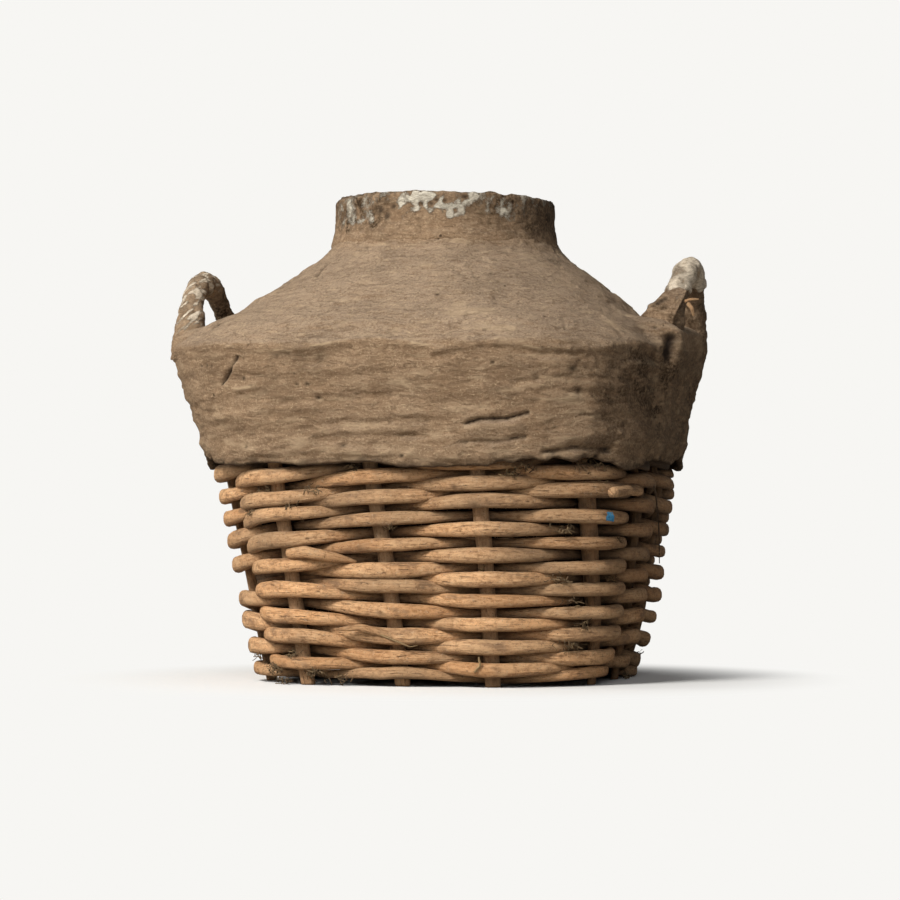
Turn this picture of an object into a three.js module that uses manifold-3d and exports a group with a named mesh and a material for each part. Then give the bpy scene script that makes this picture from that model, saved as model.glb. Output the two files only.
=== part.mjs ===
// A willow jar for wine: a rounded square basket of stakes and weavers that tapers to its foot,
// lined with a pasted paper vessel. The upper wall and the shoulder are coated with papier-mache,
// which holds two loop handles, and a round neck stands on the stakes' upper ends.
// Millimetres, +Z up, front toward -Y, handles on +X and -X. The origin is on the ground in the middle.
import * as THREE from "three";
import { mergeVertices } from "three/addons/utils/BufferGeometryUtils.js";
import Module from "manifold-3d";

// Clearance between pieces that touch
const fitGap = 0.3;
const rowGap = 0.35;
const crossGap = 0.5;
const linerGap = 3.5;
const coatGap = 1;
const slopeGap = 2;
const stickEndGap = 2;

// Willow rods and stakes
const rodThickness = 9.4;
const stakeWidth = 13;
const stakeDepth = 9;
const groundGap = 0.8;
const rodEndGap = 1;

// Body, measured on the line through the middle of the stakes
const baseHalfWidth = 144;
const shoulderHalfWidth = 196;
const cornerShare = 0.6;
const shoulderRoom = 12.5;
const shoulderSlopeHeight = 102;

// Paper vessel and papier-mache coat
const linerWall = 4;
const linerMouthDrop = 3;
const coatWall = 4;

// Neck
const neckOuterRadius = 98;
const neckHeight = 42;
const neckBandWall = 5.4;
const hoopWall = 7.3;
const hoopDrop = 4;
const neckRound = 1.6;

// Handles: a bent rod with a paper wrap, the left one lower than the right one
const coreRadius = 6.5;
const wrapRadius = 11.5;
const handleHalfSpan = 48;
const handleBend = 34;
const coreDepth = 26;
const handleStand = 1.3;
const wrapFootHeight = 14;
const leftHandleHeight = 82;
const rightHandleHeight = 89;

// Pad of papier-mache round the handles' roots
const padReach = 18.6;
const padFlatHalf = 56;
const padFade = 30;
const padTopHeight = 34;

// Counts
const visibleRows = 19;
const coveredRows = 9;
const visibleRodSides = 5;
const coveredRodSides = 4;
const coatPoints = 48;
const linerPoints = 40;
const neckPoints = 40;
const wallSteps = 6;
const bendSteps = 4;
const baseStickSides = 6;
const rowsUnderLowerSticks = 1;
const rowsUnderUpperSticks = 2;
const stakesPerRowShift = 3;
const handleSides = 8;
const halfTurnDegrees = 180;
const spanTurnDegrees = 25;

// Place of each stake round the wall, as a share of the way round from the middle of the front:
// at the foot and from the shoulder up
const stakeShares = [
  [-0.175, -0.17],
  [-0.091, -0.089],
  [-0.004, -0.027],
  [0.0745, 0.046],
  [0.172, 0.106],
  [0.266, 0.166],
  [0.326, 0.25],
  [0.388, 0.335],
  [0.45, 0.42],
  [0.511, 0.503],
  [0.574, 0.577],
  [0.636, 0.64],
  [0.699, 0.703],
  [0.762, 0.767],
];
const stakeCount = stakeShares.length;

// The shoulder's line, as shares of its height, of its way in to the neck, and its corners' roundness
const shoulderShares = [
  [0, 0, 0.6],
  [0.137, 0.097, 0.64],
  [0.314, 0.272, 0.72],
  [0.48, 0.437, 0.8],
  [0.647, 0.631, 0.88],
  [0.824, 0.854, 0.96],
  [0.941, 0.976, 1],
  [1, 1, 1],
];

// The pad's side, as shares of its height over the coat's foot and of its reach past the wall
const padShares = [
  [0, 0],
  [0.32, 0.35],
  [0.55, 0.68],
  [0.83, 1],
  [0.9, 0.92],
  [0.95, 0.4],
  [0.98, -0.6],
  [1, -1.8],
];

// Rise, as a share of the shoulder's height, by which coat and vessel close in on the stakes
const closeInShare = 0.314;

// Stakes that each base stick runs between, for the lower layer and the layer that crosses it
const lowerBaseStakes = [
  [1, 10],
  [2, 9],
  [3, 8],
];
const upperBaseStakes = [
  [0, 4],
  [13, 5],
  [12, 6],
];

// Levels that follow from the sizes above
const rowPitch = rodThickness + rowGap;
const coatFoot = groundGap + visibleRows * rowPitch;
const weaveTop = coatFoot + coveredRows * rowPitch;
const shoulderLevel = weaveTop + shoulderRoom;
const neckFoot = shoulderLevel + shoulderSlopeHeight;
const rimLevel = neckFoot + neckHeight;
const weaveOffset = stakeDepth / 2 + crossGap + rodThickness / 2;
const weaveReach = weaveOffset + rodThickness / 2;
const hoopOuterRadius = neckOuterRadius - neckBandWall - fitGap;
const hoopInnerRadius = hoopOuterRadius - hoopWall;
const neckLineRadius = neckOuterRadius - stakeDepth / 2 - fitGap;
const coatInset = weaveReach + coatGap;
const slopeInset = stakeDepth / 2 + slopeGap;
const linerInset = weaveReach + linerGap;
const legOffset = weaveReach + fitGap + coreRadius;
const legFoot = shoulderLevel - coreDepth;
const padTop = shoulderLevel + padTopHeight;
const wrapFoot = shoulderLevel + wrapFootHeight;

const wasm = await Module();
wasm.setup();

// Straight blend from a to b
function mix(a, b, t) {
  return a + (b - a) * t;
}

function degrees(angle) {
  return (angle * Math.PI) / halfTurnDegrees;
}

// Value at x of a broken line through points, whose first two numbers are x and y
function along(points, x, column = 1) {
  const last = points.length - 1;
  if (x <= points[0][0]) return points[0][column];
  for (let i = 0; i < last; i++) {
    const [x0, x1] = [points[i][0], points[i + 1][0]];
    if (x <= x1) return mix(points[i][column], points[i + 1][column], (x - x0) / (x1 - x0));
  }
  return points[last][column];
}

// Outline through the stakes at a height: half its width across the flats, and its corner radius
function stakeLine(z) {
  if (z <= shoulderLevel) {
    const half = mix(baseHalfWidth, shoulderHalfWidth, z / shoulderLevel);
    return { half, corner: half * cornerShare };
  }
  const rise = (z - shoulderLevel) / shoulderSlopeHeight;
  const half = mix(shoulderHalfWidth, neckLineRadius, along(shoulderShares, rise));
  return { half, corner: half * along(shoulderShares, rise, 2) };
}

// Way round an outline
function wayRound({ half, corner }) {
  return 8 * (half - corner) + 2 * Math.PI * corner;
}

// Point and outward direction on an outline at a share of the way round from the middle of the front
function outlinePoint(line, share, offset = 0) {
  const quarter = wayRound(line) / 4;
  const way = (share - Math.floor(share)) * 4 * quarter;
  const side = Math.min(Math.floor(way / quarter), 3);
  const rest = way - side * quarter;
  const flat = line.half - line.corner;
  const arc = (Math.PI / 2) * line.corner;
  const point = new THREE.Vector3(rest, -line.half, 0);
  const out = new THREE.Vector3(0, -1, 0);
  if (rest > flat + arc) {
    point.set(line.half, rest - flat - arc - flat, 0);
    out.set(1, 0, 0);
  } else if (rest > flat) {
    const angle = (rest - flat) / line.corner;
    out.set(Math.sin(angle), -Math.cos(angle), 0);
    point.set(flat + line.corner * out.x, line.corner * out.y - flat, 0);
  }
  const turn = (side * Math.PI) / 2;
  const axis = new THREE.Vector3(0, 0, 1);
  point.applyAxisAngle(axis, turn);
  out.applyAxisAngle(axis, turn);
  return { point: point.addScaledVector(out, offset), out };
}

// A closed body from rings of points, each ring once round counter-clockwise seen from above when it
// climbs. An open run of rings is capped at both ends, and a looped one joins its last ring to its first.
function bodyFromRings(rings, looped) {
  const sides = rings[0].length;
  const position = rings.flat().flatMap((p) => [p.x, p.y, p.z]);
  const index = [];
  const joins = looped ? rings.length : rings.length - 1;
  for (let i = 0; i < joins; i++) {
    const low = i * sides;
    const high = ((i + 1) % rings.length) * sides;
    for (let j = 0; j < sides; j++) {
      const k = (j + 1) % sides;
      index.push(low + j, low + k, high + k, low + j, high + k, high + j);
    }
  }
  if (!looped) {
    const top = (rings.length - 1) * sides;
    for (let j = 1; j < sides - 1; j++) {
      index.push(0, j + 1, j);
      index.push(top, top + j, top + j + 1);
    }
  }
  const geometry = new THREE.BufferGeometry();
  geometry.setAttribute("position", new THREE.Float32BufferAttribute(position, 3));
  geometry.setIndex(index);
  return geometry;
}

// A regular outline of a rod's section with a corner on top, fitted to a width and a height
function rodSection(sides, width, height) {
  const corners = [];
  for (let i = 0; i < sides; i++) {
    const angle = (2 * Math.PI * i) / sides;
    corners.push([-Math.sin(angle), Math.cos(angle)]);
  }
  const fit = (column, size) => {
    const values = corners.map((corner) => corner[column]);
    const [low, high] = [Math.min(...values), Math.max(...values)];
    return values.map((value) => (size * (value - low)) / (high - low) - size / 2);
  };
  const across = fit(0, width);
  const up = fit(1, height);
  return corners.map((_, i) => [across[i], up[i]]);
}

// Rings of a section carried along frames, each with a middle and the section's two directions
function carrySection(section, frames) {
  return frames.map(({ middle, across, up }) =>
    section.map(([a, b]) => middle.clone().addScaledVector(across, a).addScaledVector(up, b)),
  );
}

// Direction of a broken line at one of its points: the mean of the stretches before and after it
function wayAt(points, i) {
  const way = new THREE.Vector3();
  if (i > 0) way.add(points[i].clone().sub(points[i - 1]).normalize());
  if (i < points.length - 1) way.add(points[i + 1].clone().sub(points[i]).normalize());
  return way.normalize();
}

// Frames that stay level along a rod's middle line
function levelFrames(points) {
  const up = new THREE.Vector3(0, 0, 1);
  return points.map((middle, i) => {
    const across = new THREE.Vector3().crossVectors(up, wayAt(points, i));
    return { middle, across, up };
  });
}

// Solids and geometries of the piece that needs a cut
function toSolid(geometry) {
  const merged = mergeVertices(geometry.clone());
  const vertProperties = new Float32Array(merged.attributes.position.array);
  const triVerts = new Uint32Array(merged.index.array);
  return new wasm.Manifold(new wasm.Mesh({ numProp: 3, vertProperties, triVerts }));
}

function toGeometry(solid) {
  const { vertProperties, triVerts } = solid.getMesh();
  const geometry = new THREE.BufferGeometry();
  geometry.setAttribute("position", new THREE.BufferAttribute(vertProperties, 3));
  geometry.setIndex(new THREE.BufferAttribute(triVerts, 1));
  return geometry;
}

const willow = new THREE.MeshStandardMaterial({ color: "#a67c52", roughness: 0.7, metalness: 0 });
const agedPaper = new THREE.MeshStandardMaterial({ color: "#77644f", roughness: 0.9, metalness: 0 });
const limedPaper = new THREE.MeshStandardMaterial({ color: "#8d8070", roughness: 0.95, metalness: 0 });
const linerPaper = new THREE.MeshStandardMaterial({ color: "#4a3a2b", roughness: 0.8, metalness: 0 });

const jar = new THREE.Group();

function addPiece(name, geometry, material) {
  const flat = geometry.toNonIndexed();
  flat.computeVertexNormals();
  const mesh = new THREE.Mesh(flat, material);
  mesh.name = name;
  jar.add(mesh);
}

function numbered(name, index) {
  return `${name}_${String(index + 1).padStart(2, "0")}`;
}

// Share of the way round of a stake at a height, with whole turns for places past the last stake
function stakeShare(place, z) {
  const turns = Math.floor(place / stakeCount);
  const [foot, top] = stakeShares[place - turns * stakeCount];
  return turns + mix(foot, top, Math.min(z / shoulderLevel, 1));
}

function rowLevel(row) {
  return groundGap + rodThickness / 2 + row * rowPitch;
}

// Stakes: flat-sided rods that stand on cut butts, climb the wall and the shoulder, and end under the neck
const stakeLevels = [];
for (let i = 0; i < wallSteps; i++) stakeLevels.push((shoulderLevel * i) / wallSteps);
for (const [rise] of shoulderShares) stakeLevels.push(shoulderLevel + shoulderSlopeHeight * rise);

function stakeGeometry(stake) {
  const top = neckFoot - fitGap;
  const spots = stakeLevels.map((level) => {
    const { point, out } = outlinePoint(stakeLine(level), stakeShare(stake, level));
    point.z = Math.min(level, top);
    return { point, out };
  });
  const points = spots.map(({ point }) => point);
  const frames = spots.map(({ point, out }, i) => {
    const atEnd = i === 0 || i === spots.length - 1;
    const way = atEnd ? new THREE.Vector3(0, 0, 1) : wayAt(points, i);
    const across = new THREE.Vector3().crossVectors(out, way).normalize();
    return { middle: point, across, up: new THREE.Vector3().crossVectors(way, across) };
  });
  const [halfWidth, halfDepth] = [stakeWidth / 2, stakeDepth / 2];
  const section = [
    [-halfWidth, 0],
    [-halfWidth / 2, -halfDepth],
    [halfWidth / 2, -halfDepth],
    [halfWidth, 0],
    [halfWidth / 2, halfDepth],
    [-halfWidth / 2, halfDepth],
  ];
  return bodyFromRings(carrySection(section, frames), false);
}

for (let stake = 0; stake < stakeCount; stake++) {
  addPiece(numbered("stake", stake), stakeGeometry(stake), willow);
}

// Side of a stake on which a row passes: 1 outside, -1 inside
function passSide(row, stake) {
  return (stake + row) % 2 === 0 ? 1 : -1;
}

// Weavers: each row is one rod that passes outside and inside the stakes by turns, with its two ends
// meeting behind a stake. The next row passes the other way.
function weaverGeometry(row, sides) {
  const z = rowLevel(row);
  const line = stakeLine(z);
  const around = wayRound(line);
  const start = (row * stakesPerRowShift) % stakeCount;
  const first = passSide(row, start) < 0 ? start : start + 1;
  const straight = stakeWidth / 2 / around;
  const endRoom = rodEndGap / 2 / around;
  const points = [];
  const addPoint = (share, offset) => {
    const { point } = outlinePoint(line, share, offset);
    point.z = z;
    points.push(point);
  };
  addPoint(stakeShare(first, z) + endRoom, -weaveOffset);
  for (let stake = first; stake < first + stakeCount; stake++) {
    const from = stakeShare(stake, z) + straight;
    const to = stakeShare(stake + 1, z) - straight;
    const turn = outlinePoint(line, from).out.angleTo(outlinePoint(line, to).out);
    const steps = Math.max(1, Math.ceil(turn / degrees(spanTurnDegrees)));
    for (let i = 0; i <= steps; i++) {
      const part = i / steps;
      addPoint(mix(from, to, part), weaveOffset * passSide(row, stake) * (1 - 2 * part));
    }
  }
  addPoint(stakeShare(first + stakeCount, z) - endRoom, -weaveOffset);
  const section = rodSection(sides, rodThickness, rodThickness);
  return bodyFromRings(carrySection(section, levelFrames(points)), false);
}

for (let row = 0; row < visibleRows + coveredRows; row++) {
  const sides = row < visibleRows ? visibleRodSides : coveredRodSides;
  addPiece(numbered("weaver", row), weaverGeometry(row, sides), willow);
}

// Base sticks: two crossed layers, level with a row each. An end meets the row where it passes inside
// its stake, and the stake itself where the row passes outside.
function baseStickGeometry(stakes, row) {
  const z = rowLevel(row);
  const points = stakes.map((stake) => {
    const inset = passSide(row, stake) < 0 ? weaveReach : stakeDepth / 2;
    const { point } = outlinePoint(stakeLine(z), stakeShare(stake, z), -inset - stickEndGap);
    point.z = z;
    return point;
  });
  const section = rodSection(baseStickSides, rodThickness, rodThickness);
  return bodyFromRings(carrySection(section, levelFrames(points)), false);
}

lowerBaseStakes.forEach((stakes, i) => {
  addPiece(numbered("base_stick_lower", i), baseStickGeometry(stakes, rowsUnderLowerSticks), willow);
});
upperBaseStakes.forEach((stakes, i) => {
  addPiece(numbered("base_stick_upper", i), baseStickGeometry(stakes, rowsUnderUpperSticks), willow);
});

// Stations up the shoulder: height, outline and lean of the surface's outward direction
const shoulderStations = shoulderShares.map(([rise]) => {
  const z = shoulderLevel + shoulderSlopeHeight * rise;
  return { z, line: stakeLine(z), rise };
});

function stationLean(i) {
  if (i === shoulderStations.length - 1) return 0;
  const next = shoulderStations[i + 1];
  const here = shoulderStations[i];
  const above = Math.atan2(here.line.half - next.line.half, next.z - here.z);
  if (i === 0) return above / 2;
  const last = shoulderStations[i - 1];
  return (above + Math.atan2(last.line.half - here.line.half, here.z - last.z)) / 2;
}

// Level outlines of a surface that lies off the shoulder by a distance found from the rise
function shoulderOutlines(offsetAt) {
  return shoulderStations.map(({ z, line, rise }, i) => {
    const lean = stationLean(i);
    const out = offsetAt(rise) * Math.cos(lean);
    return {
      z: z + offsetAt(rise) * Math.sin(lean),
      half: line.half + out,
      corner: line.corner + out,
    };
  });
}

function wallOutline(z, offset) {
  const { half, corner } = stakeLine(z);
  return { z, half: half + offset, corner: corner + offset };
}

function ringOn(outline, count) {
  const ring = [];
  for (let i = 0; i < count; i++) {
    const { point } = outlinePoint(outline, i / count);
    point.z = outline.z;
    ring.push(point);
  }
  return ring;
}

function roundOutline(z, radius) {
  return { z, half: radius, corner: radius };
}

// Paper vessel: a floor on the base sticks, walls inside the weave, a shoulder inside the stakes, and a
// mouth inside the hoop
function linerOutlines(depth) {
  const inset = (rise) => {
    const part = Math.min(rise / closeInShare, 1);
    return -mix(linerInset, slopeInset, part) - depth;
  };
  const shoulder = shoulderOutlines(inset).slice(1, -1);
  const floor = rowLevel(rowsUnderUpperSticks) + rodThickness / 2 + fitGap + depth;
  const mouth = hoopInnerRadius - fitGap - depth;
  return [
    wallOutline(floor, -linerInset - depth),
    wallOutline(weaveTop, -linerInset - depth),
    ...shoulder,
    roundOutline(neckFoot, mouth),
    roundOutline(rimLevel - linerMouthDrop, mouth),
  ];
}

const linerRings = [...linerOutlines(0), ...linerOutlines(linerWall).reverse()];
addPiece(
  "paper_liner",
  bodyFromRings(
    linerRings.map((outline) => ringOn(outline, linerPoints)),
    false,
  ),
  linerPaper,
);

// Handle path: each leg climbs beside the weave, stands up from the shoulder, and the two meet over the
// finger gap
const splayTop = wrapFoot - coreRadius;

function legReach(z) {
  const part = THREE.MathUtils.clamp((z - legFoot) / (splayTop - legFoot), 0, 1);
  return mix(stakeLine(legFoot).half, shoulderHalfWidth + handleStand, part) + legOffset;
}

function handlePoints({ side, height }, foot) {
  const bend = shoulderLevel + height - wrapRadius - handleBend;
  const spots = [[-handleHalfSpan, foot]];
  if (foot < splayTop) spots.push([-handleHalfSpan, splayTop]);
  for (let i = 0; i <= bendSteps; i++) {
    const angle = ((Math.PI / 2) * i) / bendSteps;
    const inward = handleBend * (1 - Math.cos(angle));
    spots.push([inward - handleHalfSpan, bend + handleBend * Math.sin(angle)]);
  }
  const mirrored = spots.map(([y, z]) => [-y, z]).reverse();
  return [...spots, ...mirrored].map(([y, z]) => new THREE.Vector3(side * legReach(z), y, z));
}

function handleRings(handle, foot, radius) {
  const points = handlePoints(handle, foot);
  const section = rodSection(handleSides, 2 * radius, 2 * radius);
  const frames = points.map((middle, i) => {
    const way = wayAt(points, i);
    const across = new THREE.Vector3(1, 0, 0).projectOnPlane(way).normalize();
    return { middle, across, up: new THREE.Vector3().crossVectors(way, across) };
  });
  return carrySection(section, frames);
}

const handles = [
  { name: "left_handle", side: -1, height: leftHandleHeight },
  { name: "right_handle", side: 1, height: rightHandleHeight },
];
for (const handle of handles) {
  const core = handleRings(handle, legFoot, coreRadius);
  const outer = handleRings(handle, wrapFoot, wrapRadius);
  const bore = handleRings(handle, wrapFoot, coreRadius + fitGap);
  addPiece(`${handle.name}_core`, bodyFromRings(core, false), willow);
  addPiece(`${handle.name}_wrap`, bodyFromRings([...outer, ...bore.reverse()], true), limedPaper);
}

// Coat: papier-mache over the covered rows and the shoulder, with a pad round each handle's roots
function padHalfWidth(z) {
  const share = (z - coatFoot) / (padTop - coatFoot);
  if (share > 1) return 0;
  const wall = stakeLine(Math.min(z, shoulderLevel)).half + coatInset + coatWall;
  return wall + padReach * along(padShares, share);
}

function pushPad(point) {
  const fade = THREE.MathUtils.clamp((Math.abs(point.y) - padFlatHalf) / padFade, 0, 1);
  const push = padHalfWidth(point.z) - Math.abs(point.x);
  if (push > 0) point.x += Math.sign(point.x) * push * (1 - fade * fade * (3 - 2 * fade));
  return point;
}

function coatOutlines(extra) {
  const offset = (rise) => mix(coatInset, slopeInset, Math.min(rise / closeInShare, 1)) + extra;
  return [
    wallOutline(coatFoot, coatInset + extra),
    wallOutline(weaveTop, coatInset + extra),
    ...shoulderOutlines(offset),
  ];
}

// Outline at a height between given ones
function outlineBetween(outlines, z) {
  const table = outlines.map((outline) => [outline.z, outline.half, outline.corner]);
  return { z, half: along(table, z), corner: along(table, z, 2) };
}

const coatOutside = coatOutlines(coatWall);
const padLevels = padShares.map(([share]) => mix(coatFoot, padTop, share));
const coatLevels = [...coatOutside.map(({ z }) => z), ...padLevels.slice(1)].sort((a, b) => a - b);
const coatOuterRings = coatLevels.map((z) =>
  ringOn(outlineBetween(coatOutside, z), coatPoints).map(pushPad),
);
const coatInnerRings = coatOutlines(0).map((outline) => ringOn(outline, coatPoints));
let coat = toSolid(bodyFromRings([...coatOuterRings, ...coatInnerRings.reverse()], true));
for (const handle of handles) {
  const coreRoom = handleRings(handle, legFoot - fitGap, coreRadius + fitGap);
  const wrapRoom = handleRings(handle, wrapFoot - fitGap, wrapRadius + fitGap);
  coat = coat.subtract(toSolid(bodyFromRings(coreRoom, false)));
  coat = coat.subtract(toSolid(bodyFromRings(wrapRoom, false)));
}
addPiece("papier_mache_coat", toGeometry(coat), agedPaper);

// Neck: a bent wood hoop on the stakes' ends with a limed paper band round it
function collarGeometry(inner, outer, foot, top, round) {
  const outlines = [
    roundOutline(foot, outer),
    roundOutline(top - round, outer),
    roundOutline(top, outer - round),
    roundOutline(top, inner),
    roundOutline(foot, inner),
  ];
  return bodyFromRings(
    outlines.map((outline) => ringOn(outline, neckPoints)),
    true,
  );
}

const collarFoot = neckFoot + fitGap;
const hoopTop = rimLevel - hoopDrop;
addPiece(
  "neck_hoop",
  collarGeometry(hoopInnerRadius, hoopOuterRadius, collarFoot, hoopTop, neckRound),
  willow,
);
addPiece(
  "neck_band",
  collarGeometry(neckOuterRadius - neckBandWall, neckOuterRadius, collarFoot, rimLevel, neckRound),
  limedPaper,
);

export default jar;
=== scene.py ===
# A wicker-covered wine jar: willow weave below, a papier-mache shoulder with two loop handles, a limed neck.
# Shapes are worked out in millimetres in the part's own frame and handed to Blender in metres.
import math

import bpy
import numpy as np
from mathutils import Matrix, Vector


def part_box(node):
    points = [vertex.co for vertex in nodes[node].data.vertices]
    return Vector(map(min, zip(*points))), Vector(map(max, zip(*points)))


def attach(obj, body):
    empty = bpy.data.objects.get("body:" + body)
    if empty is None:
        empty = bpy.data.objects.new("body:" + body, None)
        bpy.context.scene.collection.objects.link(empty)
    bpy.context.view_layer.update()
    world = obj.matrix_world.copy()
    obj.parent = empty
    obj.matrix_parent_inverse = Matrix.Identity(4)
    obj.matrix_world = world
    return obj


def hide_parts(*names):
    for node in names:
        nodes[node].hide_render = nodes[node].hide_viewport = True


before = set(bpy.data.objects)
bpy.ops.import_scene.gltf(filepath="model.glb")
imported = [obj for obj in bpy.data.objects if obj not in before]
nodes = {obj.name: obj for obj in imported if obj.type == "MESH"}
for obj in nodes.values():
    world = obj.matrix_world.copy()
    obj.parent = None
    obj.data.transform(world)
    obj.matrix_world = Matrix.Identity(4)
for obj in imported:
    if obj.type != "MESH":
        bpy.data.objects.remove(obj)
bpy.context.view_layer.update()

MM = 0.001

# Body line, as the part has it

STAKE_DEPTH = 9
STAKE_WIDTH = 13.6
WEAVE_OFFSET = 9.4
BASE_HALF = 144
SHOULDER_HALF = 196
SHOULDER_LEVEL = 286.3
SLOPE_HEIGHT = 102
NECK_FOOT = SHOULDER_LEVEL + SLOPE_HEIGHT
NECK_LINE_RADIUS = 93.2
NECK_RADIUS = 98
RIM_LEVEL = 430.3
COAT_FOOT = 186.05
WEAVE_TOP = 273.8
ROW_PITCH = 9.75
FIRST_ROW_LEVEL = 5.5
STAKES = 14

# Each stake's share of the way round, from the middle of the front toward +X: at the foot and the shoulder
STAKE_SHARES = np.array([
    (-0.175, -0.17), (-0.091, -0.089), (-0.004, -0.027), (0.0745, 0.046), (0.172, 0.106), (0.266, 0.166),
    (0.326, 0.25), (0.388, 0.335), (0.45, 0.42), (0.511, 0.503), (0.574, 0.577), (0.636, 0.64),
    (0.699, 0.703), (0.762, 0.767),
])

# The shoulder's rise, its way in to the neck and its corners' roundness, as shares
SLOPE = np.array([
    (0, 0, 0.6), (0.137, 0.097, 0.64), (0.314, 0.272, 0.72), (0.48, 0.437, 0.8),
    (0.647, 0.631, 0.88), (0.824, 0.854, 0.96), (0.941, 0.976, 1), (1, 1, 1),
])


# The jar leans to the left above the open weave: level and shift in mm
LEAN = np.array([
    (188, 0), (200, 0.7), (211, 1.3), (221, -0.4), (232, -3.7), (242, -5), (252, -7), (265, -8), (295, -10),
    (320, -8.5), (335, -5.5), (355, -4), (372, -3.6), (388, -3.5), (430, -2.7),
])


def lean_at(level):
    return np.interp(level, LEAN[:, 0], LEAN[:, 1])


def bulge_at(x, level):
    """The open weave has sagged outward on the right."""
    sag = 9 + 3 * bell(level - 62, 26)
    spread = 7 * bell(x - 130, 20) * (1 - step_up(level, 20, 110))
    return sag * step_up(x, 132, 180) * step_up(level, 4, 40) * (1 - step_up(level, 168, 196)) + spread


def body_line(level):
    """Half width and corner radius of the outline through the stakes at a level."""
    level = np.asarray(level, float)
    wall = BASE_HALF + (SHOULDER_HALF - BASE_HALF) * np.minimum(level, SHOULDER_LEVEL) / SHOULDER_LEVEL
    rise = (level - SHOULDER_LEVEL) / SLOPE_HEIGHT
    slope = SHOULDER_HALF + (NECK_LINE_RADIUS - SHOULDER_HALF) * np.interp(rise, SLOPE[:, 0], SLOPE[:, 1])
    half = np.where(level > SHOULDER_LEVEL, slope, wall)
    return half, half * np.interp(rise, SLOPE[:, 0], SLOPE[:, 2])


def outline(half, corner, share):
    """Points of a rounded square at shares of the way round from the front's middle, and directions out."""
    flat = half - corner
    quarter = 2 * flat + math.pi / 2 * corner
    way = (share - np.floor(share)) * 4 * quarter
    side = np.minimum(np.floor(way / quarter), 3)
    rest = way - side * quarter
    angle = np.clip((rest - flat) / corner, 0, math.pi / 2)
    out_x, out_y = np.sin(angle), -np.cos(angle)
    x = np.minimum(rest, flat) + corner * out_x
    y = np.maximum(rest - flat - corner * math.pi / 2, 0) - flat + corner * out_y
    turn = side * math.pi / 2
    c, s = np.cos(turn), np.sin(turn)
    return x * c - y * s, x * s + y * c, out_x * c - out_y * s, out_x * s + out_y * c


# Small tools

rng = np.random.default_rng(7)


def lumps(x, y, z, size, seed):
    """Smooth random heights from -1 to 1, in lumps about size mm across; size may differ along x, y and z."""
    sizes = np.broadcast_to(size, 3)
    spot = np.stack([np.asarray(v, float) / s for v, s in zip(np.broadcast_arrays(x, y, z), sizes)], -1)
    spot = spot + seed * 17.31
    cell = np.floor(spot).astype(np.int64)
    part = spot - cell
    part = part * part * (3 - 2 * part)
    total = 0
    for corner in range(8):
        step = np.array([corner & 1, corner >> 1 & 1, corner >> 2])
        key = ((cell + step) * np.array([73856093, 19349663, 83492791])).sum(-1)
        key = (key ^ key >> 13) * 1274126177 & 0xFFFFFFFF
        value = (key ^ key >> 16 & 0xFFFF) % 65536 / 32767.5 - 1
        total = total + value * np.prod(np.where(step, part, 1 - part), -1)
    return total


def bell(distance, width):
    return np.exp(-((distance / width) ** 2))


def step_up(value, low, high):
    part = np.clip((value - low) / (high - low), 0, 1)
    return part * part * (3 - 2 * part)


def unit(vectors):
    return vectors / np.maximum(np.linalg.norm(vectors, axis=-1, keepdims=True), 1e-9)


def apart(points, spot, stretch=1):
    """Distance in mm of each point from a spot, with the axes stretched."""
    return np.linalg.norm((points - spot) * stretch, axis=-1)


def bumps_on(points):
    """Smooth random heights at some points, as a function of the lumps' size and a seed."""
    x, y, z = np.moveaxis(points, -1, 0)
    return lambda size, seed: lumps(x, y, z, size, seed)


def make_piece(name, rings, material, replaced=(), marks=None, around=True, ends=False, faces=None):
    """A mesh piece from rings of points in mm, with a value per point for each mark its material reads."""
    if faces is None:
        faces = grid_faces(len(rings), len(rings[0]), around, ends)
    points = np.array(rings, float).reshape(-1, 3)
    points[:, 0] += lean_at(points[:, 2]) + bulge_at(points[:, 0], points[:, 2])
    mesh = bpy.data.meshes.new(name)
    mesh.from_pydata((points * MM).tolist(), [], faces)
    mesh.update()
    mesh.polygons.foreach_set("use_smooth", [True] * len(mesh.polygons))
    for mark, values in (marks or {}).items():
        kind, field = ("FLOAT_VECTOR", "vector") if mark == "rod_place" else ("FLOAT", "value")
        values = np.asarray(values, np.float32).ravel()
        mesh.attributes.new(mark, kind, "POINT").data.foreach_set(field, values)
    mesh.materials.append(material)
    piece = bpy.data.objects.new(name, mesh)
    bpy.context.scene.collection.objects.link(piece)
    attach(piece, "root")
    if replaced:
        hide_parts(*replaced)


def grid_faces(rows, columns, around=True, ends=False):
    """Quads between rings of points, which close on themselves where around is set; ends caps them."""
    last = columns if around else columns - 1
    i, j = np.meshgrid(np.arange(rows - 1), np.arange(last), indexing="ij")
    k = (j + 1) % columns
    quads = np.stack([i * columns + j, i * columns + k, (i + 1) * columns + k, (i + 1) * columns + j], -1)
    faces = quads.reshape(-1, 4).tolist()
    if ends:
        faces.append(list(range(columns))[::-1])
        faces.append(list(range((rows - 1) * columns, rows * columns)))
    return faces


def ring_angles(sides):
    return np.arange(sides) * 2 * math.pi / sides


def sweep(middle, out, width, depth, sides, power=2.1, relief=0):
    """Rings of a rod's section along a path: width runs across, depth runs along out."""
    tangent = unit(np.gradient(middle, axis=0))
    across = unit(np.cross(out, tangent))
    out = np.cross(tangent, across)
    c, s = np.cos(ring_angles(sides)), np.sin(ring_angles(sides))
    a = np.sign(c) * np.abs(c) ** (2 / power)
    b = np.sign(s) * np.abs(s) ** (2 / power)
    wide = a * np.broadcast_to(width, len(middle))[:, None] / 2 * (1 + relief)
    deep = b * np.broadcast_to(depth, len(middle))[:, None] / 2 * (1 + relief)
    ring = across[:, None] * wide[..., None] + out[:, None] * deep[..., None]
    return middle[:, None] + ring


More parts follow.
